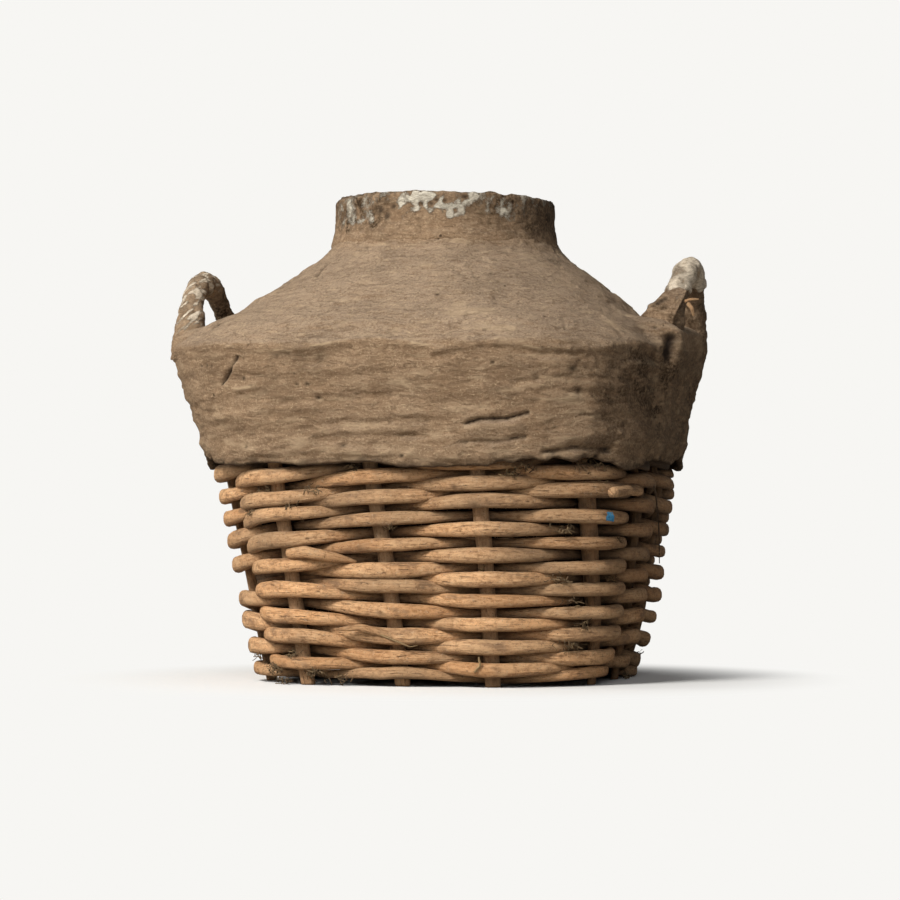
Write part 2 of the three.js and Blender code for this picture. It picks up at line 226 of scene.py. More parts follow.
def length_along(middle):
    return np.concatenate([[0], np.cumsum(np.linalg.norm(np.diff(middle, axis=0), axis=1))])


def rod_marks(way, angle, seed, tone=1.0, grime_and_shade=0.2, knot=0.0, radius=5):
    """What willow reads at each point of a rod: its place along and round it, its tone, dirt and painted
    shade, and knots.
    """
    shape = (len(way), len(angle))
    place = [np.broadcast_to(value, shape) for value in (way[:, None] * MM, angle * radius * MM, seed)]
    return {
        "rod_place": np.stack(place, -1),
        "rod_tone": np.broadcast_to(tone, shape),
        "knot": np.broadcast_to(knot, shape),
        "grime_and_shade": np.broadcast_to(grime_and_shade, shape),
    }


# The photograph's view: 14 degrees to the right of the front, 2.9 m away, level with 146.6 mm
VIEW_TURN = math.radians(14)
VIEW_COS = math.cos(VIEW_TURN)
VIEW_SIN = math.sin(VIEW_TURN)
VIEW_AWAY = 2.9
VIEW_LEVEL = 146.6
# A pixel in mm at the jar's axis and on its front, the axis's column and the eye level's row
PIXEL = 0.9
FRONT_PIXEL = 0.85
AXIS_COLUMN = 448.5
EYE_ROW = 515


def seen_at(px, py, surface):
    """The point in mm on a surface(level, share) that the photograph shows at a pixel."""
    share = np.linspace(-0.32, 0.36, 1400)
    level = VIEW_LEVEL + (EYE_ROW - py) * FRONT_PIXEL
    for _ in range(4):
        ring = surface(np.full_like(share, level), share)
        x = ring[:, 0] + lean_at(level) + bulge_at(ring[:, 0], ring[:, 2])
        depth = VIEW_AWAY / MM - x * VIEW_SIN + ring[:, 1] * VIEW_COS
        across = (x * VIEW_COS + ring[:, 1] * VIEW_SIN) / depth * VIEW_AWAY / MM / PIXEL + AXIS_COLUMN
        shown = (np.abs(across - px) < 0.8) | (np.abs(across - px) == np.abs(across - px).min())
        best = np.flatnonzero(shown)[np.argmin(depth[shown])]
        level = VIEW_LEVEL + (EYE_ROW - py) * PIXEL * depth[best] * MM / VIEW_AWAY
    return ring[best]


def pixel_point(px, py, y):
    """The point in mm that the photograph shows at a pixel, a distance y behind the axis, before the lean."""
    far = VIEW_AWAY / MM
    slant = (px - AXIS_COLUMN) * PIXEL / far
    x = (slant * (far + y * VIEW_COS) - y * VIEW_SIN) / (VIEW_COS + slant * VIEW_SIN)
    level = VIEW_LEVEL + (EYE_ROW - py) * PIXEL * (far - x * VIEW_SIN + y * VIEW_COS) / far
    return np.array([x - lean_at(level), y, level])


def wall_surface(reach):
    """The wall's outline at a distance outside the middle of the stakes."""
    def surface(level, share):
        half, corner = body_line(level)
        x, y, out_x, out_y = outline(half, corner, share)
        return np.stack([x + out_x * reach, y + out_y * reach, level], -1)
    return surface


# Materials

def linear(hex_colour):
    """An sRGB hex value as the linear colour that a shader takes."""
    parts = [int(hex_colour[i:i + 2], 16) / 255 for i in (1, 3, 5)]
    return [p / 12.92 if p <= 0.04045 else ((p + 0.055) / 1.055) ** 2.4 for p in parts] + [1]


def add(tree, kind, links=None, stops=None, **settings):
    """Adds a node with its settings; links gives its inputs a value, a socket or a node's first output."""
    node = tree.nodes.new(kind)
    for name, value in settings.items():
        setattr(node, name, value)
    for name, value in (links or {}).items():
        if isinstance(value, bpy.types.Node):
            value = value.outputs[0]
        if isinstance(value, bpy.types.NodeSocket):
            tree.links.new(value, node.inputs[name])
        else:
            node.inputs[name].default_value = value
    if stops:
        for spare in list(node.color_ramp.elements)[1:]:
            node.color_ramp.elements.remove(spare)
        node.color_ramp.elements[0].position = stops[0][0]
        for place, _ in stops[1:]:
            node.color_ramp.elements.new(place)
        for element, (_, colour) in zip(node.color_ramp.elements, stops):
            element.color = linear(colour) if isinstance(colour, str) else [colour, colour, colour, 1]
    return node


def new_material(name, roughness, specular):
    material = bpy.data.materials.new(name)
    material.use_nodes = True
    tree = material.node_tree
    shader = tree.nodes["Principled BSDF"]
    shader.inputs["Roughness"].default_value = roughness
    shader.inputs["Specular IOR Level"].default_value = specular
    return material, tree, shader


def marks_of(tree, names):
    """The values that a piece carries at each point, by the names of its marks."""
    return [add(tree, "ShaderNodeAttribute", attribute_name=name).outputs["Fac"] for name in names]


def grained(tree, place, patterns):
    """Noise patterns on a place, each with its repeats per metre on the axes, detail, roughness and bend."""
    grain = []
    for repeats, detail, roughness, bend in patterns:
        way = add(tree, "ShaderNodeVectorMath", {0: place, 1: repeats}, operation="MULTIPLY")
        settings = {"Vector": way, "Scale": 1, "Detail": detail, "Roughness": roughness, "Distortion": bend}
        grain.append(add(tree, "ShaderNodeTexNoise", settings))
    return grain


def layered(tree, base, layers):
    """Lays colours over a base in turn: each by an amount, or by a pattern between a low and a high stop."""
    for colour, amount, *stops in layers:
        if stops:
            amount = add(tree, "ShaderNodeValToRGB", {"Fac": amount}, stops)
        under, over = [linear(value) if isinstance(value, str) else value for value in (base, colour)]
        base = add(tree, "ShaderNodeMix", {0: amount, 6: under, 7: over}, data_type="RGBA").outputs[2]
    return base


def finish(tree, shader, colour, steps, strength, depth):
    """Gives a shader its colour and a relief worked out in steps, with its depth in metres."""
    height = steps[0]
    for operation, other in steps[1:]:
        height = add(tree, "ShaderNodeMath", {0: height, 1: other}, operation=operation)
    bump = add(tree, "ShaderNodeBump", {"Height": height, "Strength": strength, "Distance": depth})
    tree.links.new(colour, shader.inputs["Base Color"])
    tree.links.new(bump.outputs[0], shader.inputs["Normal"])


def willow(name, base, light, dark, roughness):
    """Weathered peeled willow: matt, tan, with fibres along the rod, grey bloom, cracks, dark knots, and dirt
    and painted shade.
    """
    material, tree, shader = new_material(name, roughness, 0.3)
    tone, knot, grime_and_shade = marks_of(tree, ("rod_tone", "knot", "grime_and_shade"))
    rod = add(tree, "ShaderNodeAttribute", attribute_name="rod_place").outputs["Vector"]
    fibres, cracks, patches, hues, worn = grained(tree, rod, (
        # Fibres are 1 mm apart across the rod, as coarse as shows, and 20 mm long
        ((50, 1000, 1), 5, 0.68, 0),
        # Drying cracks and scars run 14 mm along the rod and 1.2 mm across
        ((70, 820, 1), 3, 0.6, 0.4),
        # Blotches of bark and weather run 30 mm along the rod and 9 mm across
        ((33, 110, 1), 6, 0.66, 0),
        # A rod's own hue changes over 160 mm
        ((6, 12, 1), 3, 0.6, 0),
        # Worn and dirty places are 5 mm long and 2 mm across
        ((200, 450, 1), 5, 0.75, 0),
    ))
    # Dust lies in patches 3 mm wide, and specks of dirt are 1.6 mm wide
    place = add(tree, "ShaderNodeNewGeometry").outputs["Position"]
    dust, specks = grained(tree, place, (((330, 330, 330), 4, 0.7, 0), ((620, 620, 620), 2, 0.5, 0)))
    crack = add(tree, "ShaderNodeValToRGB", {"Fac": cracks}, [(0.63, 0), (0.7, 0.62)])
    colour = layered(tree, base, (
        (light, patches, (0.38, 0), (0.6, 0.6)),
        (dark, worn, (0.37, 0.75), (0.5, 0)),
        (light, worn, (0.52, 0), (0.64, 0.65)),
        ("#9c8569", hues, (0.36, 0.55), (0.52, 0)),
        ("#b9814f", hues, (0.5, 0), (0.68, 0.5)),
        (dark, fibres, (0.36, 0.42), (0.66, 0)),
        ("#7a6049", patches, (0.34, 0.72), (0.45, 0)),
        ("#5f4530", crack),
        ("#c4ad90", dust, (0.58, 0), (0.68, 0.5)),
        ("#4f3b2a", specks, (0.63, 0), (0.72, 0.6)),
    ))
    shade = add(tree, "ShaderNodeHueSaturation", {"Color": colour, "Value": tone})
    # Knots, then the grime and shade mark: dirt, and painted shade behind stakes, under rods, under the coat
    # and on the right
    colour = layered(tree, shade.outputs[0], (("#4a3524", knot), ("#33261a", grime_and_shade)))
    raised = (fibres, ("ADD", patches), ("ADD", worn), ("SUBTRACT", crack))
    finish(tree, shader, colour, raised, 1.0, 0.0015)
    return material


peeled_willow = willow("weathered_peeled_willow", "#d2a274", "#e7c095", "#86613f", 0.72)
willow_stake = willow("split_willow_stake", "#bb926b", "#cfa984", "#8b6a4c", 0.75)
bent_wood = willow("bent_hoop_wood", "#7d6248", "#94785a", "#5a4531", 0.75)


def felted_paper(name, base, light, dark, chalk=("#9d9384", "#d8d2c3")):
    """Hand laid papier-mache: matt pulp with level fibres, rubbed pale on ridges, with pinholes; holes and
    recesses are painted dark as shade.
    """
    material, tree, shader = new_material(name, 0.88, 0.25)
    stain_and_shade, lime, rub, hollow_shade = marks_of(tree, ("stain_and_shade", "lime", "rub", "hollow_shade"))
    surface = add(tree, "ShaderNodeNewGeometry")
    place = surface.outputs["Position"]
    facing = add(tree, "ShaderNodeSeparateXYZ", {"Vector": surface.outputs["Normal"]})
    clouds, thin, grit, flakes = grained(tree, place, (
        # Torn sheets of pulp show as clouds 45 mm wide, and bend the way the fibres lie
        ((24, 24, 24), 6, 0.62, 0),
        # Thin places, where pinholes show, are 30 mm wide
        ((35, 35, 35), 2, 0.5, 0),
        # Grit is 2 mm wide
        ((520, 520, 520), 3, 0.7, 0),
        # Lime flakes off in patches 6 mm wide
        ((150, 150, 150), 8, 0.86, 0),
    ))
    bend = {0: clouds.outputs["Color"], 1: (0, 0, 0.02)}
    sway = add(tree, "ShaderNodeVectorMath", bend, operation="MULTIPLY")
    swayed = add(tree, "ShaderNodeVectorMath", {0: place, 1: sway}, operation="ADD")
    fibres, fine, cracks, speckle = grained(tree, swayed, (
        # Fibres lie nearly level, about 14 mm long and 2.5 mm apart
        ((70, 70, 400), 9, 0.78, 0.1),
        # Finer ones are 6 mm long and 1.2 mm apart
        ((170, 170, 800), 4, 0.75, 0.2),
        # Hair cracks follow the fibres, 25 mm long
        ((38, 38, 170), 4, 0.6, 0),
        # Smoke and damp lie in specks 2.5 mm wide with pale fibres between
        ((400, 400, 400), 4, 0.7, 0),
    ))
    off_middle = add(tree, "ShaderNodeMath", {0: cracks, 1: 0.5}, operation="SUBTRACT")
    from_crack = add(tree, "ShaderNodeMath", {0: off_middle}, operation="ABSOLUTE")
    crack = add(tree, "ShaderNodeValToRGB", {"Fac": from_crack}, [(0, 0.35), (0.008, 0)])
    # Pinholes are up to 3 mm wide and 16 mm apart, in the thin places only, painted dark as shade in the
    # holes
    pores = add(tree, "ShaderNodeTexVoronoi", {"Vector": place, "Scale": 62, "Randomness": 1})
    pore = add(tree, "ShaderNodeValToRGB", {"Fac": pores.outputs["Distance"]}, [(0.05, 1), (0.09, 0)])
    bare = add(tree, "ShaderNodeValToRGB", {"Fac": thin}, [(0.56, 0), (0.6, 0.85)])
    pinhole_shade = add(tree, "ShaderNodeMath", {0: pore, 1: bare}, operation="MULTIPLY")
    spread = {"Value": speckle, "From Min": 0.36, "From Max": 0.62, "To Min": 0.45, "To Max": 1.4}
    specks = add(tree, "ShaderNodeMapRange", spread)
    specked_stain_and_shade = add(tree, "ShaderNodeMath", {0: specks, 1: stain_and_shade}, operation="MULTIPLY", use_clamp=True)
    limed = add(tree, "ShaderNodeMath", {0: flakes, 1: lime}, operation="ADD")
    flake = add(tree, "ShaderNodeValToRGB", {"Fac": limed}, [(0.85, 0), (0.98, 1)])
    lime_colour = layered(tree, chalk[0], ((chalk[1], fine, (0.35, 0), (0.6, 1)),))
    colour = layered(tree, base, (
        ("#a08467", thin, (0.42, 0), (0.62, 0.35)),
        (dark, clouds, (0.36, 0.6), (0.6, 0)),
        # Grey dust lies on what faces up
        ("#a39585", facing.outputs["Z"], (0.2, 0), (0.8, 0.4)),
        (light, fibres, (0.5, 0), (0.66, 0.62)),
        (dark, fibres, (0.34, 0.6), (0.48, 0)),
        (light, fine, (0.56, 0), (0.7, 0.5)),
        (dark, fine, (0.32, 0.55), (0.45, 0)),
        ("#5a4634", crack),
        (dark, grit, (0.32, 0.8), (0.47, 0)),
        ("#cbb594", grit, (0.58, 0), (0.7, 0.55)),
        (light, rub),
        # Specks of the stain and shade mark: smoke and damp stains, and painted shade on parts turned from
        # the light or under the hem
        ("#33230f", specked_stain_and_shade),
        (lime_colour, flake),
        # Pinholes are painted dark as shade
        ("#3a2c1f", pinhole_shade),
        # Creases, pits and recesses are painted dark as shade
        ("#2a1f16", hollow_shade),
    ))
    raised = (fibres, ("MULTIPLY", 1.5), ("ADD", fine), ("ADD", flake))
    finish(tree, shader, colour, (*raised, ("SUBTRACT", crack), ("SUBTRACT", pinhole_shade)), 0.9, 0.002)
    return material


coat_paper = felted_paper("papier_mache", "#988067", "#b8a184", "#786049")
worn_paper = felted_paper("worn_handle_paper", "#937c64", "#b8a085", "#68523f", ("#ab9c87", "#eaddca"))
# The vessel's paper is near black: painted shade for the gaps in the weave
vessel_paper = felted_paper("vessel_paper_painted_gap_shade", "#261c14", "#35291e", "#18110c")

# Weave

# Levels in mm where a row passes in front of a stake that the front shows, keyed by stake and row
ROWS = 28
FRONT_LEVELS = {
    0: {20: 182.5, 18: 162.8, 16: 143.2, 14: 123.6, 12: 102.6, 6: 73.1, 4: 55, 2: 31.5, 0: 12.5},
    1: {19: 179.8, 17: 160.1, 15: 146.9, 13: 125.8, 11: 103.5, 7: 83.2, 5: 59.3, 3: 43, 1: 19.1},
    2: {18: 179.6, 16: 161.8, 14: 143.2, 12: 121.2, 10: 99.2, 8: 87.4, 6: 65.4, 4: 43.4, 2: 26, 0: 12},
    3: {19: 190, 17: 172.8, 15: 158.4, 13: 134.8, 11: 112.8, 9: 91.6, 7: 73, 5: 53.5, 3: 34.5, 1: 15},
    4: {18: 183.3, 16: 167.8, 14: 144.7, 12: 122.3, 10: 102.6, 8: 82.6, 6: 63.5, 4: 44.7, 2: 24.5, 0: 12},
    5: {19: 192, 17: 176.7, 15: 154.7, 13: 133.7, 11: 112.3, 9: 93.7, 7: 76.1, 5: 58, 3: 39.1, 1: 16.7},
    6: {18: 175, 16: 153.8, 14: 133, 12: 113.3, 10: 94.4, 8: 74.6, 6: 54.8, 4: 34, 2: 14},
}
# How far the rows run low or high at each stake that the front doesn't show
REST_SHIFT = {7: -6, 8: -3, 9: 0, 10: 2, 11: -2, 12: -8, 13: -14}


def row_level(row, stake):
    """Level of a row at a stake. A row that passes inside lies midway between its neighbours outside."""
    stake %= STAKES
    known = FRONT_LEVELS.get(stake)
    if known is None:
        wander = 1.6 * math.sin(row * 2.7 + stake * 1.9)
        fade = min(1, row / 6)
        return FIRST_ROW_LEVEL + ROW_PITCH * row + REST_SHIFT[stake] * fade + wander
    rows = sorted(known)
    if row > rows[-1]:
        return known[rows[-1]] + ROW_PITCH * (row - rows[-1])
    if row < rows[0]:
        return max(known[rows[0]] - ROW_PITCH * (rows[0] - row), FIRST_ROW_LEVEL)
    return float(np.interp(row, rows, [known[r] for r in rows]))


def row_side(row, stake):
    """1 where a row passes outside a stake, -1 where it passes inside."""
    stake %= STAKES
    if (row, stake) in ((8, 0), (10, 0), (9, 1)):
        return -1
    return 1 if (stake + row) % 2 == 0 else -1


def stake_share(place, level):
    """Share of the way round of a place between stakes at a level."""
    turns = np.floor(place / STAKES)
    low = place - turns * STAKES
    part = np.minimum(level / SHOULDER_LEVEL, 1)
    foot = np.interp(low, np.arange(STAKES + 1), np.append(STAKE_SHARES[:, 0], 1 + STAKE_SHARES[0, 0]))
    top = np.interp(low, np.arange(STAKES + 1), np.append(STAKE_SHARES[:, 1], 1 + STAKE_SHARES[0, 1]))
    return turns + foot + (top - foot) * part


SPAN_STEPS = 16
ROD_SIDES = 14
# A rod's height and depth in mm where it passes inside a stake, and what it gains outside
ROD_HEIGHT = 8.4
ROD_HEIGHT_GAIN = 4.3
ROD_DEPTH = 8.6
ROD_DEPTH_GAIN = 1.2
KNOTS_ON_A_ROD = 7

# Knots and scars that the photograph shows on the rods: pixel and radius in mm
WEAVE_KNOTS = [
    (274, 515, 2), (286, 499, 3.4), (236, 470, 1.8), (316, 475, 4), (326, 474, 3), (397, 475, 3.2),
    (341, 488, 2), (273, 545, 2.4), (307, 554, 1.6), (377, 571, 2), (368, 614, 1.8), (381, 613, 2),
    (290, 617, 3), (292, 640, 3), (333, 645, 2.6), (289, 656, 2.4), (304, 665, 3), (283, 666, 2.6),
    (374, 661, 3), (256, 596, 1.6), (241, 601, 1.8), (441, 532, 2), (349, 538, 1.8), (479, 478, 3.2),
    (453, 487, 3.4), (503, 485, 2.6), (522, 494, 1.8), (452, 502, 2.2), (582, 550, 3.4), (567, 563, 2),
    (504, 629, 3.4), (498, 670, 3.2), (453, 624, 3), (516, 599, 1.6), (604, 664, 2.6), (606, 515, 2.2),
    (538, 486, 1.6), (420, 640, 1.8), (560, 641, 1.8),
]
knot_spots = [(seen_at(px, py, wall_surface(14)), size) for px, py, size in WEAVE_KNOTS]


def weave_row(row):
    """One willow rod round the jar, thick where it bows out over a stake; gives its middle line."""
    start = (row * 3) % STAKES
    first = start if row_side(row, start) < 0 else start + 1
    place = np.linspace(first + 0.03, first + STAKES - 0.03, STAKES * SPAN_STEPS + 1)
    stake = np.floor(place).astype(int)
    part = place - stake
    side = np.array([[row_side(row, s), row_side(row, s + 1)] for s in stake])
    level = np.array([[row_level(row, s), row_level(row, s + 1)] for s in stake])
    ease = (1 - np.cos(math.pi * part)) / 2
    z = level[:, 0] + (level[:, 1] - level[:, 0]) * (0.35 * part + 0.65 * ease)
    sway = side[:, 0] + (side[:, 1] - side[:, 0]) * ease
    half, corner = body_line(z)
    x, y, out_x, out_y = outline(half, corner, stake_share(place, z))

    def wander(stakes, seed):
        return lumps(place, row, 0, (stakes, 1, 1), seed)

    thick = 1.01 + 0.05 * math.sin(row * 5.1) + 0.13 * wander(1.6, 3) + 0.05 * wander(0.5, 4)
    # The lowest rod is thinner, and the rods are thicker round the front left corner
    thick = thick - 0.26 * (row == 0) + 0.17 * step_up(-x, 95, 140) * (1 - step_up(y, 0, 60))
    proud = np.clip((sway + 1) / 2, 0, 1)
    height = (ROD_HEIGHT + ROD_HEIGHT_GAIN * proud ** 1.1) * thick
    depth = (ROD_DEPTH + ROD_DEPTH_GAIN * proud) * thick
    z = z + 1.1 * wander(0.7, 5) + 0.4 * wander(0.2, 6)
    out = np.stack([out_x, out_y, 0 * out_x], -1)
    middle = np.stack([x, y, z], -1) + out * (sway * WEAVE_OFFSET)[:, None]
    way = length_along(middle)
    angle = ring_angles(ROD_SIDES)
    relief = 0.05 * lumps(way[:, None], angle * 6, row * 9, (14, 5, 1), 11)
    knot = np.zeros_like(relief)
    for _ in range(KNOTS_ON_A_ROD):
        spot = rng.uniform(0, way[-1])
        turn = rng.uniform(0.2, 1.9) * math.pi / 2
        size = rng.uniform(2.5, 5)
        round_by = (angle - turn + math.pi) % (2 * math.pi) - math.pi
        near = bell(way[:, None] - spot, size * 1.5) * bell(round_by, 0.7)
        relief = relief + near * rng.uniform(0.08, 0.2)
        knot = np.maximum(knot, near * rng.uniform(0.3, 0.9))
    rings = sweep(middle, out, height, depth, ROD_SIDES, 2.5, relief)
    # Both cut ends are rounded off
    for end, share in ((0, 0.55), (1, 0.85), (-1, 0.55), (-2, 0.85)):
        rings[end] = middle[end] + (rings[end] - middle[end]) * share
    for spot, size in knot_spots:
        away = apart(rings, spot, [0.7, 1, 1])
        if away.min() < size * 2:
            knot = np.maximum(knot, 0.85 * bell(away, size * 0.8) - 0.3 * bell(away, size * 0.3))
            rings = rings + (rings - middle[:, None]) * (0.1 * bell(away, size))[..., None]
    rings[..., 2] = np.maximum(rings[..., 2], 0.3)
    tone = 0.98 + 0.09 * math.sin(row * 12.9)
    tone = tone + 0.13 * lumps(way[:, None], 0 * angle, row * 7, (60, 1, 1), 13)
    # Painted shade darkens a rod where it passes behind a stake, on its underside and on the right, which
    # turns from the light; dirt lies in specks a little on top and more at the back
    low = np.clip(-np.cos(angle), 0, 1) ** 2
    high = np.clip(np.cos(angle), 0, 1) ** 6
    behind = (1 - proud[:, None]) ** 3.4
    speckled = 0.5 + 0.5 * lumps(way[:, None], angle * 5, row * 3, (5, 3, 1), 15)
    grime_and_shade = 0.7 * behind * (0.7 + 0.6 * speckled) + 0.5 * low * (0.55 + 0.45 * speckled)
    grime_and_shade = grime_and_shade + 0.08 * high * speckled
    grime_and_shade = grime_and_shade + 0.42 * step_up(x, 125, 180)[:, None] + 0.2 * step_up(y, 60, 160)[:, None] * speckled
    # Painted shadow lies thick on the rods under the coat's edge
    grime_and_shade = grime_and_shade + 0.6 * step_up(rings[..., 2], 185.5, 189)
    marks = rod_marks(way, angle, row * 3.7, tone, np.clip(grime_and_shade, 0, 0.93), knot)
    name, node = f"weave_rod_{row + 1:02d}", f"weaver_{row + 1:02d}"
    make_piece(name, rings, peeled_willow, [node], marks, ends=True)
    return middle


rod_lines = [weave_row(row) for row in range(ROWS)]


def stake_rod(name, stake, sideways, width):
    """A flat sided willow stake from its cut butt up the wall and over the shoulder to the neck."""
    level = np.concatenate([np.linspace(0.3, 205, 84), np.linspace(212, NECK_FOOT - 1, 26)])
    half, corner = body_line(level)
    x, y, out_x, out_y = outline(half, corner, stake_share(np.full_like(level, stake), level))
    out = np.stack([out_x, out_y, 0 * level], -1)
    along = np.stack([-out_y, out_x, 0 * level], -1)
    bend = sideways + 0.9 * lumps(level, stake, 0, (45, 1, 1), 21)
    # The shoulder has sunk in, and the stakes with it
    sunk = 2.8 * step_up(level, 300, 335)
    middle = np.stack([x, y, level], -1) + along * bend[:, None] - out * sunk[:, None]
    sides = 16
    angle = ring_angles(sides)
    relief = 0.03 * lumps(level[:, None], angle * 7, stake * 11, (22, 5, 1), 23)
    broad = width * (1 + 0.06 * lumps(level, stake * 3, 0, (60, 1, 1), 25))
    rings = sweep(middle, out, broad, STAKE_DEPTH, sides, 2.6, relief)
    rings[..., 2] = np.maximum(rings[..., 2], 0.2)
    # The cut butt is dark
    knot = np.zeros_like(relief)
    knot[0] = 0.35
    tone = 1 + 0.08 * math.sin(stake * 7.7)
    # Dirt in patches, and painted shade on the stakes to the right, which turn from the light
    grime_and_shade = 0.14 + 0.3 * step_up(lumps(level[:, None], angle * 4, stake * 5, (9, 4, 1), 27), 0.1, 0.6)
    grime_and_shade = np.clip(grime_and_shade + 0.4 * step_up(middle[:, 0], 118, 178)[:, None], 0, 1)
    marks = rod_marks(level, angle, 101 + stake * 4.3, tone, grime_and_shade, knot, radius=6)
    make_piece(name, rings, willow_stake, [f"stake_{stake + 1:02d}"], marks, ends=True)


# The first stake is a pair of thin rods
stake_rod("stake_rod_01_left", 0, -4.3, 6.6)
stake_rod("stake_rod_01_right", 0, 4.3, 6.2)
for stake in range(1, STAKES):
    stake_rod(f"stake_rod_{stake + 1:02d}", stake, 0, STAKE_WIDTH)

# Papier-mache coat

COAT_INSET = 15.4
COAT_WALL = 4
SLOPE_INSET = 6.5
CLOSE_IN = 0.314
PAD_REACH = 18.6
PAD_HALF = 56
PAD_FADE = 30
PAD_TOP = SHOULDER_LEVEL + 34
PAD = np.array([
    (0, 0), (0.32, 0.35), (0.55, 0.68), (0.83, 1), (0.9, 0.92), (0.95, 0.4), (0.98, -0.6), (1, -1.8),
])


def shoulder_rings(low, high):
    """Level, half width and corner radius of a surface off the shoulder: low mm at its foot, high above."""
    level = SHOULDER_LEVEL + SLOPE_HEIGHT * SLOPE[:, 0]
    half, corner = body_line(level)
    lean = np.arctan2(half[:-1] - half[1:], level[1:] - level[:-1])
    tilt = np.concatenate([[lean[0] / 2], (lean[:-1] + lean[1:]) / 2, [0]])
    offset = low + (high - low) * np.minimum(SLOPE[:, 0] / CLOSE_IN, 1)
    outward = offset * np.cos(tilt)
    return np.stack([level + offset * np.sin(tilt), half + outward, corner + outward], -1)


def coat_line():
    """Level, half width and corner radius of the coat's outside."""
    off_wall = COAT_INSET + COAT_WALL
    wall = []
    for level in (COAT_FOOT - 12, COAT_FOOT, WEAVE_TOP):
        half, corner = body_line(level)
        wall.append((level, half + off_wall, corner + off_wall))
    return np.vstack([wall, shoulder_rings(off_wall, SLOPE_INSET + COAT_WALL)])


coat_outside = coat_line()


def coat_wall_half(level):
    return body_line(np.minimum(level, SHOULDER_LEVEL))[0] + COAT_INSET + COAT_WALL


def coat_surface(level, share):
    """Points of the smooth coat, with the pads that hold the handles' roots."""
    half = np.interp(level, coat_outside[:, 0], coat_outside[:, 1])
    corner = np.interp(level, coat_outside[:, 0], coat_outside[:, 2])
    x, y, _, _ = outline(half, corner, share)
    pad_share = (level - COAT_FOOT) / (PAD_TOP - COAT_FOOT)
    reach = coat_wall_half(level) + PAD_REACH * np.interp(pad_share, PAD[:, 0], PAD[:, 1])
    push = np.maximum(np.where(pad_share > 1, 0, reach) - np.abs(x), 0)
    x = x + np.sign(x) * push * (1 - step_up(np.abs(y), PAD_HALF, PAD_HALF + PAD_FADE))
    return np.stack([x, y, np.broadcast_to(level, x.shape)], -1)


def normals_of(points, around=True):
    """Outward directions of a grid of points whose rows climb and whose columns run counter-clockwise."""
    if around:
        right = np.roll(points, -1, 1) - np.roll(points, 1, 1)
    else:
        right = np.gradient(points, axis=1)
    return unit(np.cross(right, np.gradient(points, axis=0)))


COAT_COLUMNS = 960
# Rings of points on the coat's lower and upper part, and the lower part's share of the climb
COAT_LOWER_RINGS = 84
COAT_UPPER_RINGS = 81
COAT_LOWER_SHARE = 0.52

# What the photograph shows on the coat, by pixels
# Folds: a line, height in mm, below 0 for a crease, and half width
COAT_FOLDS = [
    ([(235, 357), (229, 370), (220, 385)], -2.8, 1.6), ([(401, 435), (428, 437)], -2, 1.6),
    ([(313, 441), (360, 438), (414, 436)], -1.3, 3),
    ([(464, 424), (479, 419.5), (506, 419), (529, 413)], -3.2, 2),
    ([(460, 442), (497, 441), (527, 437)], -2.6, 2.4), ([(544, 452), (573, 447), (611, 450)], -3.8, 2.9),
    ([(240, 355), (273, 354), (319, 355), (347, 350)], -1.7, 6),
    ([(420, 359), (458, 350), (500, 348), (560, 354)], -1.5, 4.5),
    ([(282, 403), (340, 399), (386, 394)], -1.2, 5), ([(256, 458), (294, 457)], -2, 3),
    ([(311, 275), (322, 262)], -2.8, 1.5), ([(350, 293), (358, 294)], -1.6, 1.2),
    ([(516, 385), (539, 377)], -1.6, 3), ([(328, 423), (380, 422), (428, 419)], -1.2, 4.5),
    ([(222, 398), (262, 394)], -1.4, 4), ([(430, 404), (500, 401)], -1.4, 4),
    ([(563, 316), (566, 330)], -1.2, 1.4), ([(676, 319), (673, 338), (670, 355)], -6, 6),
    ([(600, 362), (640, 358)], -1.5, 4), ([(236, 432), (300, 430)], -1.5, 4),
    ([(245, 350), (273, 349), (305, 348), (332, 343), (370, 338), (409, 343), (440, 349)], 2.1, 3.4),
    ([(430, 353), (468, 344), (502, 342), (543, 347), (586, 348), (611, 346)], 2.1, 3.4),
    ([(233, 389), (252, 387)], 1.4, 3), ([(217, 418), (263, 409), (313, 406)], 2, 4),
    ([(236, 444), (302, 425)], 1.3, 4), ([(313, 433), (363, 430), (420, 428)], 1.8, 3.6),
    ([(244, 455), (279, 449), (305, 448), (360, 451), (420, 452), (455, 455)], 1.8, 5),
    ([(464, 430), (520, 425)], 1.9, 3.6), ([(544, 401), (574, 397)], 1.5, 4),
    ([(540, 419), (600, 415)], 1.8, 4), ([(400, 412), (450, 408)], 1.5, 4),
    ([(350, 384), (400, 380)], 1.3, 5), ([(480, 454), (540, 456), (580, 457)], 1.6, 4),
    ([(251, 300), (269, 293)], 1.6, 5),
]
# Stains: pixel, radius in mm and strength
COAT_STAINS = [
    (642, 374, 17, 0.6), (614, 373, 10, 0.4), (624, 384, 14, 0.4), (651, 398, 16, 0.4),
    (655, 417, 11, 0.6), (607, 394, 8, 0.3), (690, 400, 18, 0.5), (620, 426, 11, 0.3),
    (598, 446, 11, 0.35), (668, 372, 14, 0.5), (610, 410, 8, 0.25), (676, 440, 16, 0.45),
    (548, 250, 16, 0.3), (556, 262, 14, 0.25), (452, 362, 11, 0.16), (290, 362, 16, 0.14),
    (320, 360, 12, 0.14), (500, 245, 14, 0.14), (470, 250, 12, 0.1),
]
